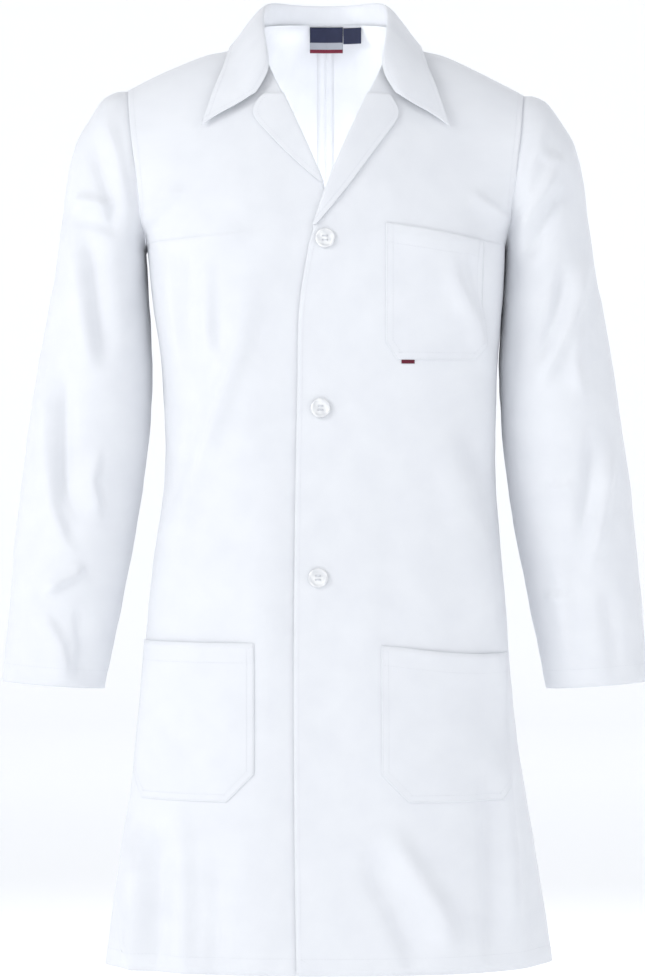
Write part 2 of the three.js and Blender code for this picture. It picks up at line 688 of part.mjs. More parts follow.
// Half of the collar, from the centre back to its front end, as three guide lines: the neck seam, the fold
// and the outer edge of the leaf.
const onChest = (x, z, lift) => onBody(FRONT, x, z, lift);
const LEAF_LIFT = 8;
const neckSeam = new THREE.CatmullRomCurve3([
  vector(0, BACK_NECK_DEPTH + 0.5, BACK_NECK_HEIGHT + 2.3),
  vector(0.5 * NECK_HALF, 0.92 * BACK_NECK_DEPTH + 0.5, BACK_NECK_HEIGHT + 1.3),
  vector(0.84 * NECK_HALF, 0.62 * BACK_NECK_DEPTH + 0.5, BACK_NECK_HEIGHT - 2),
  vector(NECK_HALF - 1, 0, NECK_POINT_HEIGHT + 3.5),
  onChest(NECK_HALF - 8, mix(ROLL_TOP_HEIGHT, NECK_POINT_HEIGHT, 0.5), 6),
  onChest(NECK_HALF - 10, ROLL_TOP_HEIGHT + 10, 8),
  onChest(GORGE_HALF, GORGE_HEIGHT + 6, 6),
]);
const foldLine = new THREE.CatmullRomCurve3([
  vector(0, BACK_NECK_DEPTH + 3, BACK_NECK_HEIGHT + STAND_HEIGHT),
  vector(0.52 * NECK_HALF, 0.88 * BACK_NECK_DEPTH, BACK_NECK_HEIGHT + STAND_HEIGHT - 0.5),
  vector(0.86 * NECK_HALF, 0.5 * BACK_NECK_DEPTH, BACK_NECK_HEIGHT + STAND_HEIGHT - 2),
  vector(NECK_HALF - 3, -6, BACK_NECK_HEIGHT + STAND_HEIGHT - 14),
  onChest(NECK_HALF - 7, mix(ROLL_TOP_HEIGHT, NECK_POINT_HEIGHT, 0.75), 14),
  onChest(NECK_HALF - 8, ROLL_TOP_HEIGHT + 20, 12),
  onChest(GORGE_HALF + 1, GORGE_HEIGHT + 5, 8),
]);
const leafHeight = (share) => mix(COLLAR_POINT_HEIGHT, NECK_POINT_HEIGHT, share);
const leafEdge = new THREE.CatmullRomCurve3([
  onBack(1, BACK_NECK_HEIGHT + STAND_HEIGHT - LEAF_FALL, LEAF_LIFT),
  onBack(0.8 * NECK_HALF, BACK_NECK_HEIGHT + STAND_HEIGHT - LEAF_FALL - 4, LEAF_LIFT),
  onBack(NECK_HALF + 21, NECK_POINT_HEIGHT - 21 * SHOULDER_SLOPE - 14, LEAF_LIFT),
  vector(NECK_HALF + 32, 0, NECK_POINT_HEIGHT - 32 * SHOULDER_SLOPE + LEAF_LIFT - 2),
  onChest(NECK_HALF + 38, leafHeight(0.6), LEAF_LIFT),
  onChest(mix(NECK_HALF + 38, COLLAR_POINT_HALF, 0.5), leafHeight(0.3), LEAF_LIFT),
  onChest(COLLAR_POINT_HALF, COLLAR_POINT_HEIGHT, LEAF_LIFT - 2),
]);
const COLLAR_STEPS = 12;
const COLLAR_ACROSS = 9;

function collarGrid() {
  const half = [];
  for (let i = 0; i <= COLLAR_STEPS; i += 1) {
    const share = i / COLLAR_STEPS;
    const seam = neckSeam.getPoint(share);
    const fold = foldLine.getPoint(share);
    const edge = leafEdge.getPoint(share);
    const stand = seam.clone().lerp(fold, 0.55);
    const middle = fold.clone().lerp(edge, 0.5);
    const outward = middle.clone().sub(vector(0, 0, middle.z - 60)).setZ(0).normalize();
    const shoulder = fold.clone().lerp(edge, 0.12).addScaledVector(outward, 2);
    middle.addScaledVector(outward, 1.5);
    middle.z += 2;
    const section = [seam, stand, fold, shoulder, middle, edge];
    half.push(new THREE.CatmullRomCurve3(section, false, "centripetal").getSpacedPoints(COLLAR_ACROSS - 1));
  }
  half[0].forEach((p) => p.setX(0));
  const other = half.slice(1).map((row) => row.map((p) => vector(-p.x, p.y, p.z)));
  return turned([...other.reverse(), ...half]);
}

// ---- Pockets ------------------------------------------------------------------------------------------

const POCKET_LIFT = 1.4;
const CHEST_POCKET_LIFT = 2.6; // it spans the fullest part of the chest

// The chest pocket, on the left front. Its mouth slopes and its lower corners are cut off a little.
const LEFT_FRONT = frontGrid(1, fullWidth, PANEL_POINTS).map((row) => row.slice(TURNED));
function chestPocket() {
  const top = UNDERARM_HEIGHT + CHEST_POCKET_ABOVE_UNDERARM;
  const rows = 9;
  const points = 9;
  const clip = 12;
  const grid = [];
  for (let i = 0; i < rows; i += 1) {
    const v = i / (rows - 1);
    const row = [];
    const corner = Math.max(0, clip - v * CHEST_POCKET_HEIGHT);
    for (let j = 0; j < points; j += 1) {
      const u = j / (points - 1);
      const x = CHEST_POCKET_IN + mix(corner, CHEST_POCKET_WIDTH - corner, u);
      const height = top - (1 - v) * CHEST_POCKET_HEIGHT - u * v * CHEST_POCKET_SLOPE * CHEST_POCKET_WIDTH;
      row.push(onPanel(LEFT_FRONT, FRONT, x, height));
    }
    grid.push(row);
  }
  return cloth(grid, CHEST_POCKET_LIFT, CHEST_POCKET_LIFT + CLOTH);
}

// A hip pocket, laid round the body from near the buttons almost to the side seam.
function hipPocket(hand) {
  const clipRow = HIP_POCKET_CLIP / HIP_POCKET_HEIGHT;
  const shares = [0, clipRow / 2, clipRow, mix(clipRow, 1, 0.33), mix(clipRow, 1, 0.66), 1];
  const points = 11;
  const inner = HIP_POCKET_IN + hand * closureLine(HIP_POCKET_TOP);
  const grid = shares.map((v) => {
    const height = HIP_POCKET_TOP - (1 - v) * HIP_POCKET_HEIGHT;
    const corner = Math.max(0, HIP_POCKET_CLIP * (1 - v / clipRow));
    const row = [];
    for (let j = 0; j < points; j += 1) {
      row.push(atGirth(FRONT, height, inner + mix(corner, HIP_POCKET_WIDTH - corner, j / (points - 1))));
    }
    return row;
  });
  return handed(hand, grid, POCKET_LIFT, POCKET_LIFT + CLOTH);
}

// ---- Buttons and their thread ---------------------------------------------------------------------------

// A cylinder along -Y, from one distance in front of the origin to another.
function rodForward(radius, from, to, x = 0, z = 0) {
  const geometry = new THREE.CylinderGeometry(radius, radius, to - from, 8);
  geometry.translate(x, -(from + to) / 2, z);
  return geometry;
}

const STITCHES = [
  [-STITCH_HOLE_PITCH, -STITCH_HOLE_PITCH],
  [STITCH_HOLE_PITCH, -STITCH_HOLE_PITCH],
  [STITCH_HOLE_PITCH, STITCH_HOLE_PITCH],
  [-STITCH_HOLE_PITCH, STITCH_HOLE_PITCH],
];
const DISH_DEPTH = 0.9;
const DISH_RADIUS = 0.62 * BUTTON_RADIUS;

// The button stands on -Y with its back at y = 0.
function buttonGeometry() {
  const edge = 0.8;
  const outline = [
    [0, 0],
    [BUTTON_RADIUS - edge, 0],
    [BUTTON_RADIUS, edge],
    [BUTTON_RADIUS, BUTTON_THICKNESS - edge],
    [BUTTON_RADIUS - edge, BUTTON_THICKNESS],
    [DISH_RADIUS + 1, BUTTON_THICKNESS],
    [DISH_RADIUS - 1, BUTTON_THICKNESS - DISH_DEPTH],
    [0, BUTTON_THICKNESS - DISH_DEPTH],
  ].map(([radius, height]) => new THREE.Vector2(radius, height));
  const disc = new THREE.LatheGeometry(outline, 24).rotateX(Math.PI);
  const drills = STITCHES.map(([x, z]) => rodForward(STITCH_HOLE_RADIUS, -1, BUTTON_THICKNESS + 1, x, z));
  return cut(disc, drills);
}

// Thread: a wound shank from the covered front, a cross of stitches through the holes and two bars on top.
function threadGeometry(shank) {
  const face = BUTTON_THICKNESS - DISH_DEPTH;
  const pad = 0.35;
  const under = rodForward(SHANK_RADIUS, -shank, -pad - 0.3);
  const web = rodForward(STITCH_HOLE_PITCH * 1.6, -pad - 0.5, -pad);
  const posts = STITCHES.map(([x, z]) => rodForward(STITCH_RADIUS, -pad - 0.2, face + 0.9, x, z));
  const barLength = 2 * (STITCH_HOLE_PITCH + STITCH_RADIUS);
  const bars = [-1, 1].map((level) => {
    const bar = new THREE.BoxGeometry(barLength, 2 * STITCH_RADIUS, 2 * STITCH_RADIUS);
    bar.translate(0, -(face + LAYER_GAP + STITCH_RADIUS), level * STITCH_HOLE_PITCH);
    return bar;
  });
  return join([web, under, ...posts, ...bars]);
}

const buttonPlaces = ["top", "middle", "bottom"].map((name, i) => {
  const height = TOP_BUTTON_HEIGHT - i * BUTTON_SPACING;
  const x = closureLine(height);
  return { name, at: onBody(FRONT, x, height) };
});
const buttonholes = () =>
  buttonPlaces.map(({ at }) => {
    const slot = new THREE.BoxGeometry(BUTTONHOLE_WIDTH, 30, BUTTONHOLE_LENGTH);
    slot.translate(at.x, at.y, at.z);
    return slot;
  });

// ---- Labels -------------------------------------------------------------------------------------------

// A label hangs straight down from the neck seam, just in front of the inside of the back.
function label(width, height, centre) {
  const neckline = BACK_NECK.getPoints(60);
  const across = [0, 1, 2, 3, 4].map((j) => centre + width * (j / 4 - 0.5));
  const seam = across.map((x) => neckline.find((p) => p.x >= Math.abs(x)));
  const top = Math.min(...seam.map((p) => p.z)) - LABEL_DROP;
  const grid = [0, 1, 2].map((i) => {
    const z = top - height * (1 - i / 2);
    return across.map((x, j) => vector(x, seam[j].y - CLOTH - LABEL_CLEARANCE, z));
  });
  return cloth(grid, 0, LABEL_THICKNESS);
}

// The tab is a folded tape caught in the lower edge of the chest pocket.
function pocketTab() {
  const bottom = UNDERARM_HEIGHT + CHEST_POCKET_ABOVE_UNDERARM - CHEST_POCKET_HEIGHT - SEAM_GAP;
  const grid = [bottom - POCKET_TAB.height, bottom].map((z) =>
    [-0.5, 0, 0.5].map((share) => onBody(FRONT, POCKET_TAB.x + share * POCKET_TAB.width, z)),
  );
  return cloth(grid, POCKET_LIFT, POCKET_LIFT + LABEL_THICKNESS);
}

// ---- The coat -----------------------------------------------------------------------------------------

const finish = {
  cloth: { color: 0xeceff5, roughness: 0.9 },
  stiffener: { color: 0xe8e8e6, roughness: 0.9 },
  button: { color: 0xf3f3f0, roughness: 0.25 },
  thread: { color: 0xf4f4f2, roughness: 0.8 },
  label: { color: 0x232b4f, roughness: 0.8 },
  tab: { color: 0x5a2233, roughness: 0.8 },
};

const coat = new THREE.Group();
function place(name, geometry, look, position = vector(0, 0, 0)) {
  const material = new THREE.MeshStandardMaterial({ ...finish[look], metalness: 0 });
  const mesh = new THREE.Mesh(geometry, material);
  mesh.name = name;
  mesh.position.copy(position);
  coat.add(mesh);
}

for (const [name, hand] of [["left", 1], ["right", -1]]) {
  const slots = hand > 0 ? buttonholes() : [];
  place(`front_${name}`, cut(frontPanel(hand), slots), "cloth");
  place(`facing_${name}`, cut(facingPanel(hand), slots), "cloth");
  place(`interlining_${name}`, cut(interliningPanel(hand), slots), "stiffener");
  place(`sleeve_${name}`, sleevePanel(hand), "cloth");
  place(`hip_pocket_${name}`, hipPocket(hand), "cloth");
}
place("back_left", backPanel(1), "cloth");
place("back_right", join([backPanel(-1), ventUnderlap()]), "cloth");
place("chest_pocket", chestPocket(), "cloth");

const collar = collarGrid();
const stiff = INTERLINING / 2;
const leaf = stiff + LAYER_GAP;
place("under_collar", cloth(collar, -leaf - COLLAR_CLOTH, -leaf), "cloth");
place("collar_interlining", cloth(collar, -stiff, stiff), "stiffener");
place("top_collar", cloth(collar, leaf, leaf + COLLAR_CLOTH), "cloth");
place("neck_label", label(NECK_LABEL.width, NECK_LABEL.height, NECK_LABEL.x), "label");
const sizeLabelX = NECK_LABEL.x + (NECK_LABEL.width + SIZE_LABEL.width) / 2 + SEAM_GAP;
place("size_label", label(SIZE_LABEL.width, SIZE_LABEL.height, sizeLabelX), "label");
place("pocket_tab", pocketTab(), "tab");

const shank = BUTTON_CLEARANCE + LAP_CLEARANCE - LAYER_GAP;
for (const { name, at } of buttonPlaces) {
  const position = vector(at.x, at.y - BUTTON_CLEARANCE, at.z);
  place(`button_${name}`, buttonGeometry(), "button", position);
  place(`button_thread_${name}`, threadGeometry(shank), "thread", position);
}

coat.position.set(0, -BACK_NECK_DEPTH, -BACK_NECK_HEIGHT);
export default coat;
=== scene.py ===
# A knee-length white lab coat, buttoned and hanging as if worn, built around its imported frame.
import math

import bmesh
import bpy
import numpy as np
from mathutils import Matrix, Vector, noise
from mathutils.bvhtree import BVHTree


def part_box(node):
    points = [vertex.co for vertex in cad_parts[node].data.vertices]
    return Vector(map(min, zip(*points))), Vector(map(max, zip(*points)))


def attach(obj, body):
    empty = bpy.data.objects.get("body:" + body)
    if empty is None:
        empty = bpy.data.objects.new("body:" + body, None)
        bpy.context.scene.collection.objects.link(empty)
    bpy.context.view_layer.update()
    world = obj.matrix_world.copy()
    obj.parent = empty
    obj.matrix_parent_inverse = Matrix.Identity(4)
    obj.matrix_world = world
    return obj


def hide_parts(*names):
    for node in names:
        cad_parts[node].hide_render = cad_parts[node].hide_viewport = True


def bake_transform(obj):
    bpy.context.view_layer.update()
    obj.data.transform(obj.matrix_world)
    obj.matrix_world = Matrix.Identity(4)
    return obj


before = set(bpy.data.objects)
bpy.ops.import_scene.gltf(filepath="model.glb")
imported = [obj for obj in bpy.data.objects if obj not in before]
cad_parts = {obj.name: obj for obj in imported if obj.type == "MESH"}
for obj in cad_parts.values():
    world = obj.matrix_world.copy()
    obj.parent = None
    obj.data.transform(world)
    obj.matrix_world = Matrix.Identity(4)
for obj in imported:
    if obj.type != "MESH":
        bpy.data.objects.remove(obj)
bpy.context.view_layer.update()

# ---- Studio -------------------------------------------------------------------------------------------
# A pale lit sweep of paper on the floor, one soft light high on the wearer's right, a wide fill from the
# other side, one behind, a small lamp inside the coat that lights the back neck, and an even white
# surround. The camera stands level with the middle of the coat.

scene = bpy.context.scene
scene.view_settings.view_transform = "Standard"


def area_light(name, place, target, size, power):
    """A square soft light that looks from its place at a target."""
    data = bpy.data.lights.new(name, "AREA")
    data.shape = "SQUARE"
    data.size = size
    data.energy = power
    light = bpy.data.objects.new(name, data)
    light.location = place
    light.rotation_euler = (Vector(target) - Vector(place)).to_track_quat("-Z", "Y").to_euler()
    scene.collection.objects.link(light)


area_light("key_light", (-3.1, -2.3, 1.3), (0, 0, -0.5), 1.7, 46)
area_light("fill_light", (2.6, -3.6, 0.2), (0, 0, -0.5), 3.0, 9)
area_light("back_light", (0.4, 3.6, 1.6), (0, 0, -0.5), 2.6, 55)
area_light("neck_light", (0, -0.075, -0.43), (0, -0.01, -0.08), 0.12, 0.8)

world = bpy.data.worlds.new("surround")
scene.world = world
world.use_nodes = True
world.node_tree.nodes["Background"].inputs["Color"].default_value = (0.965, 0.975, 1.0, 1)
world.node_tree.nodes["Background"].inputs["Strength"].default_value = 0.55

camera_data = bpy.data.cameras.new("camera")
camera_data.sensor_fit = "VERTICAL"
camera_data.sensor_height = 24
camera_data.lens = 89.2
camera = bpy.data.objects.new("camera", camera_data)
camera.location = (-0.0033, -4.072, -0.5195)
camera.rotation_euler = (math.pi / 2, 0, 0)
scene.collection.objects.link(camera)
scene.camera = camera

FLOOR_HEIGHT = -1.55
FLOOR_RADIUS = 9.0
floor_bm = bmesh.new()
bmesh.ops.create_circle(floor_bm, cap_ends=True, radius=FLOOR_RADIUS, segments=96)
rim = [e for e in floor_bm.edges if e.is_boundary]
for rise, spread in ((0.15, 0.5), (0.55, 0.4), (1.2, 0.25), (6.0, 0.1)):
    made = bmesh.ops.extrude_edge_only(floor_bm, edges=rim)["geom"]
    ring = [g for g in made if isinstance(g, bmesh.types.BMVert)]
    rim = [g for g in made if isinstance(g, bmesh.types.BMEdge) and g.is_boundary]
    for v in ring:
        outward = Vector((v.co.x, v.co.y, 0)).normalized()
        v.co += outward * spread + Vector((0, 0, rise))
bmesh.ops.translate(floor_bm, verts=floor_bm.verts, vec=(0, 0, FLOOR_HEIGHT))
bmesh.ops.reverse_faces(floor_bm, faces=[f for f in floor_bm.faces if f.normal.z < 0])
floor_mesh = bpy.data.meshes.new("floor")
floor_bm.to_mesh(floor_mesh)
floor_bm.free()
floor = bpy.data.objects.new("floor", floor_mesh)
scene.collection.objects.link(floor)
floor_paint = bpy.data.materials.new("floor_paper")
floor_paint.use_nodes = True
paper = floor_paint.node_tree.nodes["Principled BSDF"]
paper.inputs["Base Color"].default_value = (0.86, 0.87, 0.885, 1)
paper.inputs["Roughness"].default_value = 0.95
paper.inputs["Emission Color"].default_value = (0.97, 0.98, 1.0, 1)
paper.inputs["Emission Strength"].default_value = 0.285
floor_mesh.materials.append(floor_paint)
for polygon in floor_mesh.polygons:
    polygon.use_smooth = True

# ---- Body panels --------------------------------------------------------------------------------------
# Two fronts and two backs of white polyester and cotton twill, cut separately and sewn with the
# allowances turned in. The skirt hangs free from the waist, so it falls in soft flutes to a stitched hem.

BODY_AXIS_Y = (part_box("front_left")[1].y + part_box("back_left")[0].y) / 2
HEM_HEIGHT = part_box("front_left")[0].z
BUTTONS = ("top", "middle", "bottom")
button_centre = {name: sum(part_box("button_" + name), Vector()) / 2 for name in BUTTONS}
SLOT_HALF = (0.0018, 0.0128)
SHEET_LIMIT = 0.0022


def sheet_of(node, outward=True, middle=lambda z: 0.0):
    """One face of a node's thin shell, as a mesh of quads: the one that looks out from the body or the one
    that looks in. Buttonholes are closed, because the sheets are smoothed as whole cloth."""
    bm = bmesh.new()
    bm.from_mesh(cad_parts[node].data)
    bmesh.ops.remove_doubles(bm, verts=bm.verts, dist=1e-5)
    bm.normal_update()
    tree = BVHTree.FromBMesh(bm)
    bm.faces.ensure_lookup_table()
    walls = set()
    for face in bm.faces:
        hit = tree.ray_cast(face.calc_center_median() - face.normal * 1e-5, -face.normal, SHEET_LIMIT)
        if hit[0] is not None and bm.faces[hit[2]].normal.dot(face.normal) < -0.7:
            walls.add(face)
    best, best_score = [], -1e9
    seen = set()
    for face in walls:
        if face in seen:
            continue
        seen.add(face)
        patch, queue = [], [face]
        while queue:
            one = queue.pop()
            patch.append(one)
            for near in (g for e in one.edges for g in e.link_faces):
                if near in walls and near not in seen:
                    seen.add(near)
                    queue.append(near)
        score = sum(f.calc_area() * f.normal.dot(away(f.calc_center_median(), middle)) for f in patch)
        score = score if outward else -score
        if score > best_score:
            best, best_score = patch, score
    kept = set(best)
    bmesh.ops.delete(bm, geom=[f for f in bm.faces if f not in kept], context="FACES")
    if node in ("front_left", "facing_left", "interlining_left"):
        close_buttonholes(bm)
    bmesh.ops.join_triangles(
        bm, faces=bm.faces[:], angle_face_threshold=math.pi, angle_shape_threshold=math.pi
    )
    return bm


def away(point, middle):
    """The level direction away from the middle of the body or of a sleeve."""
    return Vector((point.x - middle(point.z), point.y - BODY_AXIS_Y, 0)).normalized()


def close_buttonholes(bm):
    in_slot = [
        v
        for v in bm.verts
        for c in button_centre.values()
        if abs(v.co.x - c.x) < SLOT_HALF[0] and abs(v.co.z - c.z) < SLOT_HALF[1]
    ]
    edges = [e for e in bm.edges if e.is_boundary and all(v in in_slot for v in e.verts)]
    bmesh.ops.holes_fill(bm, edges=edges, sides=0)
    bmesh.ops.dissolve_verts(bm, verts=in_slot)


def modified(bm, kind, **settings):
    """The mesh that one modifier makes of a sheet."""
    mesh = bpy.data.meshes.new("scratch")
    bm.to_mesh(mesh)
    scratch = bpy.data.objects.new("scratch", mesh)
    scene.collection.objects.link(scratch)
    modifier = scratch.modifiers.new("modifier", kind)
    for setting, value in settings.items():
        setattr(modifier, setting, value)
    made = bpy.data.meshes.new_from_object(scratch.evaluated_get(bpy.context.evaluated_depsgraph_get()))
    bpy.data.objects.remove(scratch)
    bpy.data.meshes.remove(mesh)
    return made


def subdivided(bm, levels, kind):
    """A finer copy of a sheet, whose first vertices are those of the sheet itself."""
    corners = "PRESERVE_CORNERS"
    return modified(
        bm, "SUBSURF", levels=levels, render_levels=levels, subdivision_type=kind, boundary_smooth=corners
    )


# A sheet is held to its own points where its quads are long, and eased where they are short.
SHORT_CELL = 0.003
LONG_CELL = 0.012


def in_lapel(v):
    """True on the turned part of a front, whose edge is a free curve."""
    return abs(v.co.x) < 0.1 and v.co.y < BODY_AXIS_Y - 0.05 and -0.25 < v.co.z < -0.06


def smoothed(bm, levels, kind="CATMULL_CLARK"):
    """The sheet subdivided into fine smooth cloth that still passes through the sheet's own points."""
    bm.verts.index_update()
    aims = [v.co.copy() for v in bm.verts]
    cells = [0 if in_lapel(v) else min(e.calc_length() for e in v.link_edges) for v in bm.verts]
    holds = smoothstep(np.array(cells), SHORT_CELL, LONG_CELL)
    for _ in range(2 if kind == "CATMULL_CLARK" else 0):
        fine = subdivided(bm, 1, kind)
        for v, aim, hold in zip(bm.verts, aims, holds):
            v.co += (aim - fine.vertices[v.index].co) * float(hold)
        bpy.data.meshes.remove(fine)
    fine = subdivided(bm, levels, kind)
    bm.free()
    made = bmesh.new()
    made.from_mesh(fine)
    bpy.data.meshes.remove(fine)
    made.normal_update()
    return made


def smoothstep(value, low, high):
    share = np.clip((value - low) / (high - low), 0, 1)
    return share * share * (3 - 2 * share)


def rim_frames(bm):
    """For each vertex on the edge of a sheet: its place, its normal and the way in from the edge."""
    bm.normal_update()
    inward = {}
    for edge in bm.edges:
        if not edge.is_boundary:
            continue
        middle = (edge.verts[0].co + edge.verts[1].co) / 2
        along = (edge.verts[1].co - edge.verts[0].co).normalized()
        way = edge.link_faces[0].calc_center_median() - middle
        way -= along * way.dot(along)
        for v in edge.verts:
            inward[v] = inward.get(v, Vector()) + way.normalized()
    frames = {}
    for v, way in inward.items():
        way = way - v.normal * way.dot(v.normal)
        frames[v] = (v.co.copy(), v.normal.copy(), way.normalized() if way.length > 1e-6 else Vector())
    return frames


NARROW_TURN = 0.002


def turn_under(bm, gap, depth):
    """Turns the edges of a sheet in. gap(place, way) is the distance from the outer face to the turned cloth
    and depth(place, way) how far it reaches back from the edge, where way points in from the edge."""
    tree = BVHTree.FromBMesh(bm)
    frames = rim_frames(bm)
    source = {v: v for v in frames}
    edges = [e for e in bm.edges if e.is_boundary]
    steps = [math.radians(a) for a in (60, 120, 180)] + [None]
    for angle in steps:
        made = bmesh.ops.extrude_edge_only(bm, edges=edges)["geom"]
        ring = {g for g in made if isinstance(g, bmesh.types.BMVert)}
        edges = [g for g in made if isinstance(g, bmesh.types.BMEdge) and all(v in ring for v in g.verts)]
        fresh = {}
        for v in ring:
            old = next(e.other_vert(v) for e in v.link_edges if e.other_vert(v) not in ring)
            fresh[v] = source[old]
        source = fresh
        for v, root in source.items():
            place, normal, way = frames[root]
            fold = gap(place, way)
            if angle is None:
                spot, facing = place + way * depth(place, way), normal
                if depth(place, way) > NARROW_TURN:
                    spot, facing, _, _ = tree.find_nearest(spot)
                v.co = spot - facing * fold
            else:
                drop = fold / 2 * (1 - math.cos(angle))
                v.co = place - normal * drop - way * 0.2 * fold * math.sin(angle)
    bm.normal_update()


# Folds of the draped cloth. Each runs through points (x, z) seen from the front, rises to a height and is
# as wide to one side as the other times its steepness. It lies on the front (-1), the back (1) or both (0).
FRONT, BACK, ROUND = -1, 1, 0
BODY_FOLDS = [
    (
        ((-0.067, -0.275), (-0.091, -0.36), (-0.122, -0.445), (-0.147, -0.507), (-0.167, -0.59),
         (-0.176, -0.66)),
        0.0052,
        0.022,
        FRONT,
    ),
    (((-0.1, -0.3), (-0.126, -0.4), (-0.152, -0.48), (-0.17, -0.56)), -0.0034, 0.017, FRONT),
    (((-0.126, -0.262), (-0.128, -0.35), (-0.114, -0.404)), 0.0030, 0.013, FRONT),
    (((-0.148, -0.25), (-0.15, -0.33), (-0.142, -0.395)), -0.0028, 0.014, FRONT),
    (((-0.172, -0.252), (-0.168, -0.33), (-0.16, -0.41)), 0.0026, 0.011, FRONT),
    (((0.133, -0.262), (0.14, -0.3), (0.158, -0.34), (0.176, -0.4)), 0.0032, 0.012, FRONT),
    (((0.155, -0.262), (0.163, -0.3), (0.176, -0.345)), -0.0026, 0.011, FRONT),
    (
        ((0.117, -0.44), (0.148, -0.52), (0.17, -0.612), (0.185, -0.718), (0.19, -0.765)),
        0.0042,
        0.02,
        FRONT,
    ),
    (((0.145, -0.43), (0.172, -0.52), (0.188, -0.62)), -0.0028, 0.015, FRONT),
    (((0.058, -0.87), (0.096, -0.928), (0.123, -0.97), (0.14, -1.025)), 0.0056, 0.017, FRONT),
    (((0.036, -0.9), (0.066, -0.955), (0.092, -1.01), (0.098, -1.05)), -0.0040, 0.018, FRONT),
    (((0.19, -0.77), (0.2, -0.917), (0.206, -1.05)), 0.0050, 0.015, FRONT),
    (((0.172, -0.8), (0.176, -0.93), (0.18, -1.05)), -0.0040, 0.015, FRONT),
    (((-0.206, -0.87), (-0.2, -0.96), (-0.203, -1.06)), 0.0060, 0.013, FRONT),
    (((-0.222, -0.93), (-0.21, -0.985), (-0.204, -1.06)), 0.0040, 0.010, FRONT),
    (((-0.18, -0.86), (-0.182, -0.96), (-0.18, -1.06)), -0.0052, 0.015, FRONT),
    (((-0.155, -0.84), (-0.15, -0.95), (-0.15, -1.06)), 0.0040, 0.016, FRONT),
    (((-0.118, -0.9), (-0.116, -0.98), (-0.118, -1.06)), -0.0024, 0.016, FRONT),
    (((0.15, -0.2), (0.178, -0.215), (0.205, -0.235)), 0.0022, 0.010, FRONT),
    (((-0.15, -0.19), (-0.176, -0.215), (-0.205, -0.24)), 0.0022, 0.010, FRONT),
    (((-0.05, -0.5), (-0.06, -0.62), (-0.062, -0.74)), 0.0016, 0.030, FRONT),
    (((0.06, -0.46), (0.07, -0.6), (0.066, -0.76)), -0.0014, 0.030, FRONT),
    (((0.15, -0.13), (0.13, -0.26), (0.095, -0.38), (0.075, -0.47)), 0.0050, 0.026, BACK),
    (((-0.15, -0.13), (-0.135, -0.25), (-0.1, -0.37), (-0.07, -0.45)), 0.0046, 0.024, BACK),
    (((0.165, -0.25), (0.12, -0.38), (0.09, -0.48)), -0.0036, 0.018, BACK),
    (((-0.17, -0.24), (-0.13, -0.36), (-0.085, -0.49)), -0.0036, 0.020, BACK),
    (((0.06, -0.46), (0.085, -0.64), (0.11, -0.85), (0.125, -1.06)), 0.0085, 0.026, BACK),
    (((-0.055, -0.45), (-0.082, -0.65), (-0.112, -0.85), (-0.13, -1.06)), 0.0085, 0.024, BACK),
    (((0.03, -0.6), (0.048, -0.8), (0.058, -1.06)), -0.0060, 0.024, BACK),
    (((-0.03, -0.56), (-0.05, -0.8), (-0.062, -1.06)), -0.0060, 0.022, BACK),
    (((0.15, -0.52), (0.18, -0.78), (0.195, -1.06)), -0.0050, 0.022, BACK),
    (((-0.15, -0.5), (-0.178, -0.76), (-0.196, -1.06)), -0.0050, 0.022, BACK),
    (((0.12, -0.08), (0.16, -0.11), (0.2, -0.16)), 0.0024, 0.014, BACK),
    (((-0.12, -0.08), (-0.16, -0.112), (-0.198, -0.158)), 0.0024, 0.014, BACK),
]
SLEEVE_FOLDS_RIGHT = [
    (((-0.244, -0.108), (-0.222, -0.165), (-0.204, -0.24)), 0.0036, 0.010, FRONT),
    (((-0.262, -0.13), (-0.24, -0.19), (-0.222, -0.255)), -0.0034, 0.010, FRONT),
    (((-0.277, -0.203), (-0.25, -0.208), (-0.224, -0.212)), 0.0040, 0.008, ROUND),
    (((-0.28, -0.222), (-0.25, -0.23), (-0.222, -0.24)), -0.0034, 0.010, ROUND),
    (((-0.277, -0.206), (-0.268, -0.293), (-0.253, -0.412)), 0.0052, 0.014, FRONT),
    (((-0.258, -0.23), (-0.246, -0.31), (-0.234, -0.4)), -0.0040, 0.013, FRONT),
    (
        ((-0.3, -0.352), (-0.302, -0.423), (-0.301, -0.485), (-0.297, -0.539), (-0.284, -0.577),
         (-0.258, -0.605)),
        0.0056,
        0.012,
        FRONT,
    ),
    (((-0.282, -0.38), (-0.284, -0.45), (-0.281, -0.52), (-0.262, -0.56)), -0.0052, 0.011, FRONT),
    (((-0.258, -0.604), (-0.286, -0.618), (-0.31, -0.634)), 0.0046, 0.009, FRONT),
    (((-0.244, -0.47), (-0.256, -0.51), (-0.246, -0.56)), 0.0034, 0.010, FRONT),
    (((-0.311, -0.65), (-0.29, -0.69), (-0.283, -0.735)), 0.0036, 0.012, FRONT),
    (((-0.268, -0.64), (-0.262, -0.69), (-0.268, -0.735)), -0.0030, 0.012, FRONT),
    (((-0.212, -0.3), (-0.24, -0.33), (-0.262, -0.38)), 0.0046, 0.013, BACK),
    (((-0.225, -0.4), (-0.255, -0.43), (-0.29, -0.44)), 0.0060, 0.011, BACK),
    (((-0.228, -0.43), (-0.256, -0.462), (-0.296, -0.47)), -0.0052, 0.010, BACK),
    (((-0.236, -0.47), (-0.262, -0.5), (-0.306, -0.5)), 0.0050, 0.011, BACK),
    (((-0.24, -0.12), (-0.25, -0.2), (-0.262, -0.32)), -0.0036, 0.018, BACK),
]
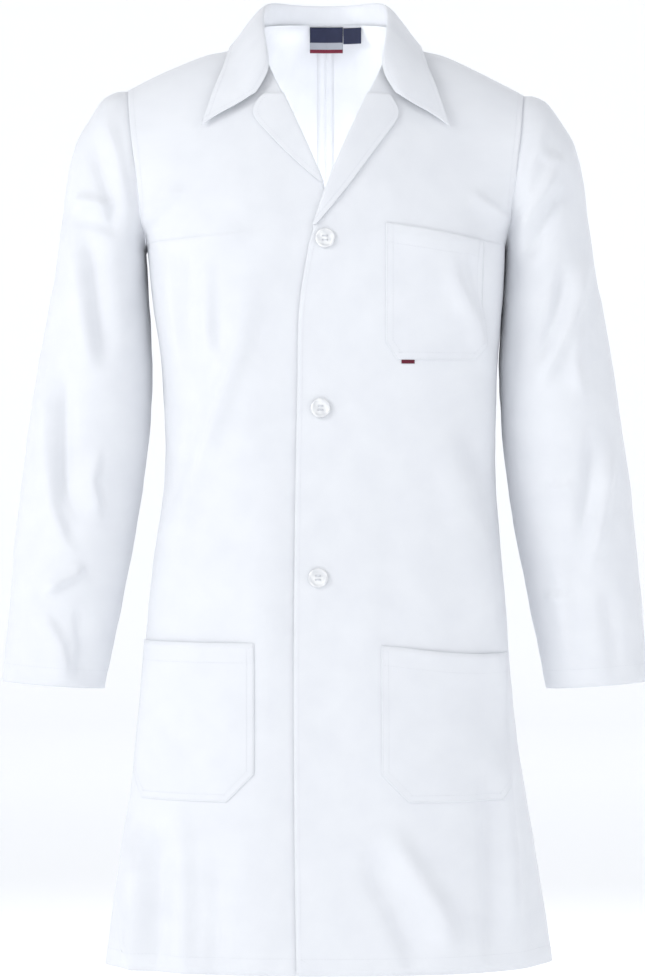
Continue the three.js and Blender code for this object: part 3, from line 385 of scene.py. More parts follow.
SLEEVE_FOLDS_LEFT = [
    (((0.242, -0.118), (0.226, -0.168), (0.209, -0.217)), 0.0036, 0.010, FRONT),
    (((0.26, -0.16), (0.228, -0.21), (0.199, -0.26)), 0.0046, 0.011, FRONT),
    (((0.262, -0.186), (0.236, -0.232), (0.212, -0.275)), -0.0040, 0.010, FRONT),
    (((0.229, -0.158), (0.246, -0.161), (0.262, -0.163)), 0.0024, 0.008, FRONT),
    (((0.285, -0.254), (0.274, -0.316), (0.249, -0.377), (0.224, -0.423)), 0.0052, 0.013, FRONT),
    (((0.262, -0.27), (0.25, -0.33), (0.226, -0.385)), -0.0042, 0.012, FRONT),
    (((0.276, -0.328), (0.27, -0.378), (0.281, -0.427)), 0.0036, 0.010, FRONT),
    (((0.312, -0.467), (0.304, -0.523), (0.297, -0.578), (0.282, -0.618)), 0.0052, 0.012, FRONT),
    (((0.29, -0.45), (0.284, -0.52), (0.272, -0.58)), -0.0042, 0.012, FRONT),
    (((0.238, -0.515), (0.256, -0.517), (0.272, -0.512)), 0.0022, 0.008, FRONT),
    (((0.238, -0.636), (0.256, -0.638), (0.272, -0.634)), 0.0022, 0.008, FRONT),
    (((0.252, -0.56), (0.262, -0.64), (0.268, -0.735)), 0.0030, 0.014, FRONT),
    (((0.302, -0.62), (0.31, -0.68), (0.318, -0.735)), -0.0028, 0.013, FRONT),
    (((0.212, -0.3), (0.24, -0.335), (0.262, -0.385)), 0.0046, 0.013, BACK),
    (((0.225, -0.395), (0.255, -0.428), (0.29, -0.436)), 0.0058, 0.011, BACK),
    (((0.23, -0.428), (0.258, -0.458), (0.296, -0.464)), -0.0050, 0.010, BACK),
    (((0.236, -0.466), (0.264, -0.494), (0.306, -0.492)), 0.0046, 0.011, BACK),
    (((0.24, -0.12), (0.252, -0.21), (0.262, -0.32)), -0.0036, 0.018, BACK),
]
STEEPNESS = 0.62
FLUTE_HEIGHT = 0.0045
FLUTES = 7
SMALL_FLUTES = 12
FOLD_RISE = 1.75
BODY_HALF_WIDTH = 0.21
BODY_HALF_DEPTH = 0.125
BODY_RIPPLE = 0.0011
SLEEVE_HALF_WIDTH = 0.055
SLEEVE_HALF_DEPTH = 0.06
SLEEVE_RIPPLE = 0.0012


def fold_lift(places, front, points, height, width, side):
    """How far one fold lifts each place. It fades to nothing at both ends."""
    lengths = [math.dist(a, b) for a, b in zip(points, points[1:])]
    nearest = np.full(len(places), 1e9)
    share = np.zeros(len(places))
    across = np.zeros(len(places))
    before = 0.0
    for (a, b), length in zip(zip(points, points[1:]), lengths):
        way = np.array([b[0] - a[0], b[1] - a[1]]) / length
        offset = places[:, [0, 2]] - np.array(a)
        along = np.clip(offset @ way, 0, length)
        gap = np.hypot(*(offset - along[:, None] * way).T)
        closer = gap < nearest
        nearest = np.where(closer, gap, nearest)
        share = np.where(closer, (before + along) / sum(lengths), share)
        across = np.where(closer, offset[:, 0] * way[1] - offset[:, 1] * way[0], across)
        before += length
    fade = smoothstep(share, 0, 0.3) * smoothstep(1 - share, 0, 0.3)
    spread = np.where(across * height > 0, width, width * STEEPNESS)
    facing = 1.0 if side == ROUND else smoothstep(front * -side, -0.1, 0.45)
    return FOLD_RISE * height * fade * facing * np.exp(-((nearest / spread) ** 2))


# The collar's leaf presses a hollow into each shoulder, and the waist hangs a little to the wearer's left.
DIP_HALF = 0.101
DIP_WIDTH = 0.021
DIP_DEPTH = 0.0075
WAIST_HEIGHT = -0.47
WAIST_SHIFT = 0.006
POCKET_MOUTH = -0.69
POCKET_SAG = 0.013


def shoulder_rise(x, z):
    """The wearer's right shoulder stands a little higher."""
    return np.where(x < 0, 0.006, 0.001) * smoothstep(np.abs(x), 0.10, 0.20) * smoothstep(z, -0.22, -0.09)


def out_of_oval(x, depth, half_width, half_depth):
    """The level direction out of an oval at each place."""
    out = np.stack([x / half_width**2, depth / half_depth**2, np.zeros(len(x))], 1)
    return out / np.maximum(np.linalg.norm(out, axis=1), 1e-9)[:, None]


def ripple(places, coarse, fine):
    """Small soft unevenness of the cloth."""
    return np.array([noise.noise(Vector(p) * coarse) + 0.5 * noise.noise(Vector(p) * fine) for p in places])


def body_drape(places):
    """The way every point of the body's cloth moves from the plain shape to the draped one."""
    x, z = places[:, 0], places[:, 2]
    depth = places[:, 1] - BODY_AXIS_Y
    out = out_of_oval(x, depth, BODY_HALF_WIDTH, BODY_HALF_DEPTH)
    front = -depth / BODY_HALF_DEPTH
    lift = np.zeros(len(x))
    for points, height, width, side in BODY_FOLDS:
        lift += fold_lift(places, front, points, height, width, side)
    turn = np.arctan2(x / 0.24, depth / 0.15)
    free = smoothstep(-z, 0.55, 1.04)
    flutes = np.cos(turn * FLUTES + 0.8) + 0.5 * np.cos(turn * SMALL_FLUTES - 1.0)
    lift += FLUTE_HEIGHT * free * flutes * smoothstep(-front, -0.75, -0.1)
    lift += BODY_RIPPLE * ripple(places, 17.0, 41.0) * smoothstep(np.hypot(x, depth), 0.05, 0.1)
    move = out * lift[:, None]
    pressed = np.exp(-(((np.abs(x) - DIP_HALF) / DIP_WIDTH) ** 2)) * smoothstep(z, -0.16, -0.03)
    move[:, 2] -= DIP_DEPTH * pressed
    waist = np.exp(-(((z - WAIST_HEIGHT) / 0.16) ** 2)) * smoothstep(np.abs(x), 0.10, 0.19)
    move[:, 0] += WAIST_SHIFT * waist
    sag = np.exp(-(((z - POCKET_MOUTH) / 0.11) ** 2)) * smoothstep(x, 0.02, 0.17)
    move[:, 2] += shoulder_rise(x, z) - POCKET_SAG * sag
    return move


def sleeve_middle(z):
    """The middle of a sleeve, out from the body's own, at each height."""
    return 0.226 + 0.080 * smoothstep(-z, 0.0, 0.95) + 0.028 * smoothstep(-z, 0.2, 0.75)


CAP_PUFF = 0.0075  # the eased head of the sleeve stands up beyond the shoulder


def sleeve_drape(places):
    """The way every point of a sleeve's cloth moves. The seam round the armhole stays where it is."""
    x, z = places[:, 0], places[:, 2]
    depth = places[:, 1] - BODY_AXIS_Y
    sign = np.sign(x)
    aside = np.abs(x) - sleeve_middle(z)
    out = out_of_oval(sign * aside, depth, SLEEVE_HALF_WIDTH, SLEEVE_HALF_DEPTH)
    front = -depth / SLEEVE_HALF_WIDTH
    lift = np.zeros(len(x))
    for points, height, width, side in SLEEVE_FOLDS_RIGHT + SLEEVE_FOLDS_LEFT:
        lift += fold_lift(places, front, points, height, width, side)
    lift += SLEEVE_RIPPLE * ripple(places, 21.0, 47.0)
    armhole = np.abs(x) - (0.196 + 0.021 * np.clip((z + 0.258) / 0.171, 0, 1))
    held = smoothstep(armhole, 0.002, 0.022)
    move = out * (lift * np.where(z > -0.262, held, 1.0))[:, None]
    cap = CAP_PUFF * np.exp(-(((armhole - 0.024) / 0.017) ** 2)) * smoothstep(z, -0.17, -0.10)
    move[:, 0] += 0.4 * sign * cap
    move[:, 2] += 0.9 * cap + shoulder_rise(x, z)
    return move


def drape(bm, field):
    places = np.array([v.co[:] for v in bm.verts])
    for v, move in zip(bm.verts, field(places)):
        v.co += Vector(move)


def lay_grain(bm, middle=lambda z: 0.0, girth=0.17):
    """UV in metres along the grain: round the body or the sleeve, and up it."""
    layer = bm.loops.layers.uv.new("grain")
    for face in bm.faces:
        centre = face.calc_center_median()
        base = middle(centre.z)
        turn = math.atan2(centre.x - base, BODY_AXIS_Y - centre.y)
        for loop in face.loops:
            co = loop.vert.co
            angle = math.atan2(co.x - base, BODY_AXIS_Y - co.y)
            angle += 2 * math.pi * round((turn - angle) / (2 * math.pi))
            loop[layer].uv = (angle * girth, co.z)


def shift_along_normals(bm, distance):
    bm.normal_update()
    moves = [v.normal * distance for v in bm.verts]
    for v, move in zip(bm.verts, moves):
        v.co += move


def placed(name, mesh, material, body="coat", smooth=True):
    """A finished piece in the scene, with its material and the body that it rides on."""
    piece = bpy.data.objects.new(name, mesh)
    scene.collection.objects.link(piece)
    for polygon in mesh.polygons:
        polygon.use_smooth = smooth
    mesh.materials.clear()
    mesh.materials.append(material)
    if body:
        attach(piece, body)
    return piece


def cloth_piece(name, bm, thickness, material, slot, body="coat", field=body_drape, **grain):
    """A sheet as a finished piece: its grain is laid, then it is draped and thickened inwards."""
    lay_grain(bm, **grain)
    if field:
        drape(bm, field)
    mesh = modified(bm, "SOLIDIFY", thickness=thickness, offset=-1)
    mesh.name = name
    bm.free()
    return placed(name, mesh, material, body)


# The cloth: cool white twill, matt, with a faint diagonal line of the weave and slight unevenness; the line
# is raised by bumps and also painted into the colour as shade in the weave's hollows.
def twill_group():
    group = bpy.data.node_groups.new("twill", "ShaderNodeTree")
    group.interface.new_socket("Threads", in_out="INPUT", socket_type="NodeSocketFloat")
    group.interface.new_socket("Height", in_out="OUTPUT", socket_type="NodeSocketFloat")
    group.interface.new_socket("Shade", in_out="OUTPUT", socket_type="NodeSocketFloat")
    nodes, links = group.nodes, group.links
    inside = nodes.new("NodeGroupInput")
    outside = nodes.new("NodeGroupOutput")
    grain = nodes.new("ShaderNodeUVMap")
    grain.uv_map = "grain"
    scaled = nodes.new("ShaderNodeVectorMath")
    scaled.operation = "SCALE"
    links.new(grain.outputs["UV"], scaled.inputs[0])
    links.new(inside.outputs["Threads"], scaled.inputs["Scale"])
    split = nodes.new("ShaderNodeSeparateXYZ")
    links.new(scaled.outputs["Vector"], split.inputs[0])

    def combined(first, factor, second):
        total = nodes.new("ShaderNodeMath")
        total.operation = "MULTIPLY_ADD"
        links.new(first, total.inputs[0])
        total.inputs[1].default_value = factor
        links.new(second, total.inputs[2])
        return total.outputs[0]

    def wave(value):
        turned = nodes.new("ShaderNodeMath")
        turned.operation = "SINE"
        links.new(value, turned.inputs[0])
        return turned.outputs[0]

    across, up = split.outputs["X"], split.outputs["Y"]
    diagonal = wave(combined(across, 0.8, up))
    warp = wave(combined(across, 1.0, across))
    level = nodes.new("ShaderNodeMapRange")
    level.inputs["From Min"].default_value = -1.35
    level.inputs["From Max"].default_value = 1.35
    links.new(combined(warp, 0.35, diagonal), level.inputs["Value"])
    links.new(level.outputs["Result"], outside.inputs["Height"])
    slub = nodes.new("ShaderNodeTexNoise")
    slub.inputs["Scale"].default_value = 26.0
    slub.inputs["Detail"].default_value = 4.0
    links.new(grain.outputs["UV"], slub.inputs["Vector"])
    # Shade: the weave's height, painted into the colour as shade in its hollows, plus the slub of the yarn,
    # which is the cloth's own unevenness.
    links.new(combined(level.outputs["Result"], 0.5, slub.outputs["Fac"]), outside.inputs["Shade"])
    return group


TWILL = twill_group()


def mix_colours(material, dark, light, factor):
    """Colours a material between two colours by a value."""
    nodes, links = material.node_tree.nodes, material.node_tree.links
    colour = nodes.new("ShaderNodeMix")
    colour.data_type = "RGBA"
    colour.inputs["A"].default_value = (*dark, 1)
    colour.inputs["B"].default_value = (*light, 1)
    links.new(factor, colour.inputs["Factor"])
    links.new(colour.outputs["Result"], nodes["Principled BSDF"].inputs["Base Color"])


def woven(name, dark, light, roughness, threads, sheen, depth=0.00010):
    """A woven finish between two close colours: the darker is painted shade in the hollows of the weave, the
    lighter lies on its raised threads, and the yarn's slub varies both.
    """
    material = bpy.data.materials.new(name)
    material.use_nodes = True
    nodes, links = material.node_tree.nodes, material.node_tree.links
    shader = nodes["Principled BSDF"]
    weave = nodes.new("ShaderNodeGroup")
    weave.node_tree = TWILL
    weave.inputs["Threads"].default_value = threads
    # Painted shade: the colour darkens in the weave's hollows and lightens on its raised threads; the slub
    # on top is the yarn's own.
    tone = nodes.new("ShaderNodeMapRange")
    tone.inputs["From Min"].default_value = 0.3
    tone.inputs["From Max"].default_value = 1.2
    links.new(weave.outputs["Shade"], tone.inputs["Value"])
    mix_colours(material, dark, light, tone.outputs["Result"])
    bump = nodes.new("ShaderNodeBump")
    bump.inputs["Distance"].default_value = depth
    bump.inputs["Strength"].default_value = 0.7
    links.new(weave.outputs["Height"], bump.inputs["Height"])
    links.new(bump.outputs["Normal"], shader.inputs["Normal"])
    shader.inputs["Roughness"].default_value = roughness
    shader.inputs["Sheen Weight"].default_value = sheen
    shader.inputs["Sheen Roughness"].default_value = 0.45
    shader.inputs["Specular IOR Level"].default_value = 0.25
    return material


cotton = woven("white_twill", (0.79, 0.805, 0.84), (0.865, 0.88, 0.905), 0.82, 9000.0, 0.12)

CLOTH_THICKNESS = 0.00042
ALLOWANCE_GAP = 0.0009
EDGE_GAP = 0.0023  # the front edge holds the front, the stiffener and the facing
EDGE_WRAP = 0.0007
LAPEL_GAP = 0.0011  # on the lapel the facing covers the edge of the front
NECK_GAP = 0.0005  # the neckline is a raw edge held inside the collar seam
HEM_DEPTH = 0.020
HEM_GAP = 0.0015
ALLOWANCE = 0.009
FINENESS = 3


def on_front_edge(place):
    """True on the closing edge and the lapel, where the facing is sewn on."""
    return abs(place.x) < 0.125 and place.y < BODY_AXIS_Y - 0.05 and place.z > HEM_HEIGHT + 0.004


def on_hem(place):
    return place.z < HEM_HEIGHT + 0.003


def at_neck(place):
    return place.z > -0.06 and math.hypot(place.x, place.y - BODY_AXIS_Y) < 0.078


def lapel_share(place):
    """1 on the lapel, 0 on the closing edge below it."""
    return float(smoothstep(place.z, -0.252, -0.232)) if on_front_edge(place) else 0.0


def panel_gap(place, way):
    if at_neck(place):
        return NECK_GAP
    if not on_front_edge(place):
        return HEM_GAP if on_hem(place) else ALLOWANCE_GAP
    return EDGE_GAP + (LAPEL_GAP - EDGE_GAP) * lapel_share(place)


def panel_depth(place, way):
    if at_neck(place) or on_front_edge(place):
        return EDGE_WRAP * (1 - 0.5 * lapel_share(place))
    return HEM_DEPTH if on_hem(place) else ALLOWANCE


plain_sheets = {}
for node in ("front_left", "front_right", "back_left", "back_right"):
    panel = smoothed(sheet_of(node), FINENESS)
    plain_sheets[node] = panel.copy()
    turn_under(panel, panel_gap, panel_depth)
    piece = cloth_piece("panel_" + node, panel, CLOTH_THICKNESS, cotton, "cloth")
    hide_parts(node)

# ---- Facings and stiffening ---------------------------------------------------------------------------
# Behind each front edge lies a facing of the same twill, which turns over with the lapel and shows there.
# A thin fused stiffener lies between the two and keeps the edge and the lapel flat.

FACING_SHIFT = -0.0011
STIFFENER_SHIFT = 0.00095
STIFFENER_THICKNESS = 0.0002
stiffener = woven("fused_stiffener", (0.72, 0.72, 0.71), (0.80, 0.80, 0.79), 0.9, 5000.0, 0.0)


def inset_edges(bm, distance, share=lambda place: 1.0):
    """Draws the edge of a sheet in by a distance, times the share that share(place) gives."""
    for v, (place, _, way) in rim_frames(bm).items():
        v.co = place + way * distance * share(place)


for side in ("left", "right"):
    facing = smoothed(sheet_of("facing_" + side, outward=False), FINENESS)
    shift_along_normals(facing, FACING_SHIFT)
    inset_edges(facing, EDGE_WRAP, lambda place: 1 - lapel_share(place))
    plain_sheets["facing_" + side] = facing.copy()
    turn_under(facing, lambda place, way: ALLOWANCE_GAP, lambda place, way: 0.006)
    piece = cloth_piece("inner_facing_" + side, facing, CLOTH_THICKNESS, cotton, "cloth")
    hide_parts("facing_" + side)

    lining = smoothed(sheet_of("interlining_" + side), FINENESS - 1)
    shift_along_normals(lining, STIFFENER_SHIFT)
    inset_edges(lining, EDGE_WRAP)
    piece = cloth_piece("stiffener_" + side, lining, STIFFENER_THICKNESS, stiffener, "stiffener")
    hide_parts("interlining_" + side)

# ---- Sleeves ------------------------------------------------------------------------------------------
# One-piece sleeves of the same twill, eased into the armholes under the topstitched edge of the body and
# closed along the underarm. The cuff is a plain turned hem.

CUFF_HEM = 0.022
ARMHOLE_TUCK = 0.0042
ARMHOLE_SINK = 0.0022
SLEEVE_GIRTH = 0.056


def at_armhole(place):
    return place.z > -0.30


for side, sign in (("left", 1), ("right", -1)):
    node = "sleeve_" + side
    middle = lambda z, sign=sign: sign * float(sleeve_middle(z))
    sleeve = smoothed(sheet_of(node, middle=middle), FINENESS)
    heart = Vector((sign * 0.2065, BODY_AXIS_Y, -0.1725))
    for v, (place, _, _) in rim_frames(sleeve).items():
        if at_armhole(place):
            inwards = (heart - place).normalized()
            v.co = place + inwards * ARMHOLE_SINK - Vector((sign * ARMHOLE_TUCK, 0, 0))
    plain_sheets[node] = sleeve.copy()
    turn_under(
        sleeve,
        lambda place, way: ALLOWANCE_GAP if at_armhole(place) else HEM_GAP,
        lambda place, way: 0.005 if at_armhole(place) else CUFF_HEM,
    )
    grain = {"middle": middle, "girth": SLEEVE_GIRTH}
    piece = cloth_piece(
        "cloth_" + node, sleeve, CLOTH_THICKNESS, cotton, "cloth", body=None, field=sleeve_drape, **grain
    )
    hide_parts(node)
    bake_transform(piece)

# ---- Pockets ------------------------------------------------------------------------------------------
# Patch pockets of the same twill: one on the wearer's left chest with a sloping mouth and one on each hip
# with the lower corners cut off. The edges are turned in and sewn down, and the mouth has a deep hem.

POCKET_LIFT = 0.0013
MOUTH_HEM = 0.024
MOUTH_GAPE = 0.0022
pockets = {"chest_pocket": "front_left", "hip_pocket_left": "front_left", "hip_pocket_right": "front_right"}


def lay_on(bm, base, lift):
    """Lays a sheet on the plain cloth of another, at lift(place) above it."""
    tree = BVHTree.FromBMesh(plain_sheets[base])
    for v in bm.verts:
        spot, facing, _, _ = tree.find_nearest(v.co)
        v.co = spot + facing * lift(v.co)


def at_mouth(way):
    return way.z < -0.75


for node, base in pockets.items():
    low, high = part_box(node)
    centre_x, half = (low.x + high.x) / 2, (high.x - low.x) / 2

    def pocket_lift(place):
        across = max(0.0, 1 - ((place.x - centre_x) / half) ** 2)
        nearness = max(0.0, 1 - (high.z - place.z) / 0.07)
        return POCKET_LIFT + MOUTH_GAPE * across * nearness**2

    pocket = smoothed(sheet_of(node), FINENESS, "SIMPLE")
    lay_on(pocket, base, pocket_lift)
    plain_sheets[node] = pocket.copy()
    turn_under(
        pocket,
        lambda place, way: ALLOWANCE_GAP if at_mouth(way) else pocket_lift(place) - 0.0003,
        lambda place, way: MOUTH_HEM if at_mouth(way) else 0.006,
    )
    piece = cloth_piece("patch_" + node, pocket, CLOTH_THICKNESS, cotton, "cloth")
    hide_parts(node)

# ---- Collar -------------------------------------------------------------------------------------------
# A turned-down collar: a top layer that wraps the edge, an under layer and a stiffener between them. It
# stands up round the back of the neck, folds over and ends in two points on the chest.

COLLAR_SHIFT = -0.00065
COLLAR_EDGE = 0.0018
COLLAR_WRAP = 0.0012
NECK_LAP = 0.0042


def lap_neckline(bm):
    """Draws the neck edge of a collar layer down over the neckline that is sewn between the layers."""
    for v, (place, _, way) in rim_frames(bm).items():
        if way.z > 0.4 and place.z > -0.03 and math.hypot(place.x, place.y - BODY_AXIS_Y) < 0.082:
            v.co = place - way * NECK_LAP


top_collar = smoothed(sheet_of("top_collar"), FINENESS)
shift_along_normals(top_collar, COLLAR_SHIFT)
lap_neckline(top_collar)
plain_sheets["top_collar"] = top_collar.copy()
turn_under(top_collar, lambda place, way: COLLAR_EDGE, lambda place, way: COLLAR_WRAP)
piece = cloth_piece("collar_top", top_collar, CLOTH_THICKNESS, cotton, "cloth")
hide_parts("top_collar")

under_collar = smoothed(sheet_of("under_collar", outward=False), FINENESS)
shift_along_normals(under_collar, COLLAR_SHIFT)
lap_neckline(under_collar)
inset_edges(under_collar, COLLAR_WRAP)
plain_sheets["under_collar"] = under_collar.copy()
piece = cloth_piece("collar_under", under_collar, CLOTH_THICKNESS, cotton, "cloth")
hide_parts("under_collar")

collar_lining = smoothed(sheet_of("collar_interlining"), FINENESS - 1)
inset_edges(collar_lining, COLLAR_WRAP)
piece = cloth_piece("collar_stiffener", collar_lining, STIFFENER_THICKNESS, stiffener, "stiffener")
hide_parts("collar_interlining")

# ---- Topstitching -------------------------------------------------------------------------------------
# White polyester thread in a lockstitch, a little sunk into the cloth. It runs along the hems, the front
# edge, the lapels and the collar, down the felled seams, round the armholes and round the pockets.

STITCH_PITCH = 0.0031
STITCH_HALF = (0.00118, 0.00024, 0.00017)
EDGE_INSET = 0.005
SEAM_INSET = 0.0022
BUTTONHOLE_HALF = 0.0011
ARMHOLE_INSET = 0.006
POCKET_INSETS = (0.0016, 0.0078)
LOOK = 0.0005  # how far ahead and behind a stitch its direction is read
STITCH_SEAT = 0.0001
HEM_MARGIN = 0.002
MOUTH_MARGIN = 0.003
SLEEVE_SEAM = (-0.275, -0.722)
seed_bm = bmesh.new()
bmesh.ops.create_icosphere(seed_bm, subdivisions=1, radius=1.0)
SEED_POINTS = np.array([v.co[:] for v in seed_bm.verts]) * np.array(STITCH_HALF)
SEED_FACES = np.array([[v.index for v in f.verts] for f in seed_bm.faces])
seed_bm.free()


def plain_material(name, colour, roughness, sheen=0.0):
    material = bpy.data.materials.new(name)
    material.use_nodes = True
    shader = material.node_tree.nodes["Principled BSDF"]
    shader.inputs["Base Color"].default_value = (*colour, 1)
    shader.inputs["Roughness"].default_value = roughness
    shader.inputs["Sheen Weight"].default_value = sheen
    return material


def streak(material, dark, light, settings):
    """Slanting streaks of two colours through a material: on the thread they are painted shade between its
    twisted plies, on the pearl resin they are its own swirls.
    """
    nodes, links = material.node_tree.nodes, material.node_tree.links
    place = nodes.new("ShaderNodeTexCoord")
    streaks = nodes.new("ShaderNodeTexWave")
    streaks.bands_direction = "DIAGONAL"
    for setting, value in settings.items():
        streaks.inputs[setting].default_value = value
    links.new(place.outputs["Object"], streaks.inputs["Vector"])
    mix_colours(material, dark, light, streaks.outputs["Fac"])


thread = plain_material("white_thread", (0.84, 0.85, 0.88), 0.55, sheen=0.2)
# Painted shade: the darker slanting streaks stand for the shade between the thread's twisted plies.
streak(thread, (0.66, 0.68, 0.72), (0.84, 0.85, 0.88), {"Scale": 900.0, "Distortion": 1.0})


def edge_runs(sheet, chosen, inset):
    """Lines a little in from the edge of a plain sheet, wherever chosen(place, way) is true."""
    frames = rim_frames(sheet)
    tree = BVHTree.FromBMesh(sheet)
    unused = dict.fromkeys(frames)
    runs = []
    while unused:
        loop = [next(iter(unused))]
        del unused[loop[0]]
        while True:
            ways = [e.other_vert(loop[-1]) for e in loop[-1].link_edges if e.is_boundary]
            ahead = [v for v in ways if v in unused]
            if not ahead:
                break
            del unused[ahead[0]]
            loop.append(ahead[0])
        kept = [chosen(frames[v][0], frames[v][2]) for v in loop]
        if not all(kept):
            start = kept.index(False)
            loop = loop[start:] + loop[:start]
            kept = kept[start:] + kept[:start]
        run = []
        for v, keep in zip(loop + [None], kept + [False]):
            if keep:
                place, _, way = frames[v]
                spot, facing, _, _ = tree.find_nearest(place + way * inset)
                run.append((spot, facing))
            elif run:
                if len(run) > 3:
                    runs.append(run)
                run = []
    return runs


def surface_run(node, starts, towards):
    """A line over a plain sheet, met by looking from each start in the direction towards."""
    tree = BVHTree.FromBMesh(plain_sheets[node])
    run = []
    for start in starts:
        spot, facing, _, _ = tree.ray_cast(Vector(start), Vector(towards))
        if spot is not None:
            run.append((spot, facing))
    return run


def topstitch(name, runs, field=body_drape, body="coat"):
    """A piece of many small stitches along the runs."""
    places = []
    for run in runs:
        spots = np.array([spot[:] for spot, _ in run])
        facings = np.array([facing[:] for _, facing in run])
        steps = np.linalg.norm(np.diff(spots, axis=0), axis=1)
        reach = np.concatenate([[0], np.cumsum(steps)])
        at = np.arange(STITCH_PITCH / 2, reach[-1], STITCH_PITCH)
        middle, ahead, behind, up = (
            np.stack([np.interp(at + shift, reach, values[:, k]) for k in range(3)], 1)
            for values, shift in ((spots, 0), (spots, LOOK), (spots, -LOOK), (facings, 0))
        )
        along = ahead - behind
        along /= np.maximum(np.linalg.norm(along, axis=1), 1e-9)[:, None]
        up -= along * (along * up).sum(1)[:, None]
        up /= np.maximum(np.linalg.norm(up, axis=1), 1e-9)[:, None]
        aside = np.cross(up, along)
        frames = np.stack([along, aside, up], 1)
        stitches = np.einsum("vk,nkc->nvc", SEED_POINTS, frames)
        places.append(stitches + (middle + up * STITCH_SEAT)[:, None, :])
    places = np.concatenate(places)
    count = len(places)
    flat = places.reshape(-1, 3)
    flat = flat + field(flat)
    faces = (SEED_FACES[None] + np.arange(count)[:, None, None] * len(SEED_POINTS)).reshape(-1, 3)
    mesh = bpy.data.meshes.new(name)
    mesh.from_pydata(flat.tolist(), [], faces.tolist())
    return placed(name, mesh, thread, body)


def on_armhole(place, way):
    return abs(place.x) > 0.19 and -0.262 < place.z < -0.089


def on_closing_edge(place, way):
    return on_front_edge(place) and place.z < -0.245


def on_shoulder(place, way):
    return place.y > BODY_AXIS_Y - 0.004 and place.z > -0.10 and abs(place.x) < 0.215


def on_side_seam(place, way):
    return abs(place.x) > 0.17 and place.z < -0.262 and not on_hem(place)


def on_back_seam(place, way):
    return abs(place.x) < 0.012 and not on_hem(place) and place.z < -0.01


body_runs = []
for node in ("front_left", "front_right", "back_left", "back_right"):
    sheet = plain_sheets[node]
    body_runs += edge_runs(sheet, lambda place, way: on_hem(place), HEM_DEPTH - HEM_MARGIN)
    body_runs += edge_runs(sheet, on_armhole, ARMHOLE_INSET)
    if node.startswith("front"):
        body_runs += edge_runs(sheet, on_closing_edge, EDGE_INSET)
        body_runs += edge_runs(sheet, on_shoulder, SEAM_INSET)
    else:
        body_runs += edge_runs(sheet, on_side_seam, SEAM_INSET)
        body_runs += edge_runs(sheet, on_back_seam, SEAM_INSET)
for centre in button_centre.values():
    for aside in (-BUTTONHOLE_HALF, BUTTONHOLE_HALF):
        heights = np.arange(centre.z - SLOT_HALF[1], centre.z + SLOT_HALF[1], 0.003)
        starts = [(centre.x + aside, centre.y - 0.05, z) for z in heights]
        body_runs.append(surface_run("front_left", starts, (0, 1, 0)))
topstitch("stitching_body", body_runs)


def on_lapel(place, way):
    return place.z > -0.25 and way.z < 0.98 and abs(way.x) > 0.2 and place.y < -0.12


def on_leaf(place, way):
    return place.z < -0.02 or abs(place.x) > 0.075


lapel_runs = []
for side in ("left", "right"):
    lapel_runs += edge_runs(plain_sheets["facing_" + side], on_lapel, EDGE_INSET)
lapel_runs += edge_runs(plain_sheets["top_collar"], on_leaf, EDGE_INSET)
topstitch("stitching_collar", lapel_runs)

pocket_runs = []
for node in pockets:
    for inset in POCKET_INSETS:
        pocket_runs += edge_runs(plain_sheets[node], lambda place, way: not at_mouth(way), inset)
    pocket_runs += edge_runs(plain_sheets[node], lambda place, way: at_mouth(way), MOUTH_HEM - MOUTH_MARGIN)
topstitch("stitching_pockets", pocket_runs)

for side, sign in (("left", 1), ("right", -1)):
    node = "sleeve_" + side
    runs = edge_runs(plain_sheets[node], lambda place, way: not at_armhole(place), CUFF_HEM - HEM_MARGIN)
    heights = np.arange(*SLEEVE_SEAM, -0.004)
    starts = [(sign * float(sleeve_middle(z)), BODY_AXIS_Y + 0.004, z) for z in heights]
    runs.append(surface_run(node, starts, (-sign, 0, 0)))
    piece = topstitch("stitching_" + node, runs, sleeve_drape, body=None)
    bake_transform(piece)

# ---- Buttons ------------------------------------------------------------------------------------------
# Three four-hole buttons of pearly cast resin, with a raised round rim and a shallow dish. Each is sewn on
# with white thread through its holes and stands on a short wound shank.

BUTTON_PROFILE = (
    (0.0, 0.35), (8.8, 0.0), (9.7, 0.25), (10.3, 0.85), (10.5, 1.5), (10.3, 2.25), (9.8, 2.75), (9.1, 2.98),
    (8.4, 2.86), (7.7, 2.45), (7.0, 2.05), (6.0, 1.86), (3.0, 1.76), (0.0, 1.74),
)
HOLE_RADIUS = 0.00095
HOLE_PITCH = 0.0022
DISH_HEIGHT = 0.0019
STRAND_RADIUS = 0.00062
SHANK_RADIUS = 0.0012
HOLES = [(sx * HOLE_PITCH, sz * HOLE_PITCH) for sx in (-1, 1) for sz in (-1, 1)]


def solid_rod(bm, radius, start, end, segments=20):
    """A capped rod between two points."""
    way = Vector(end) - Vector(start)
    turn = way.to_track_quat("Z", "Y").to_matrix().to_4x4()
    bmesh.ops.create_cone(
        bm, cap_ends=True, segments=segments, radius1=radius, radius2=radius, depth=way.length,
        matrix=Matrix.Translation((Vector(start) + Vector(end)) / 2) @ turn,
    )


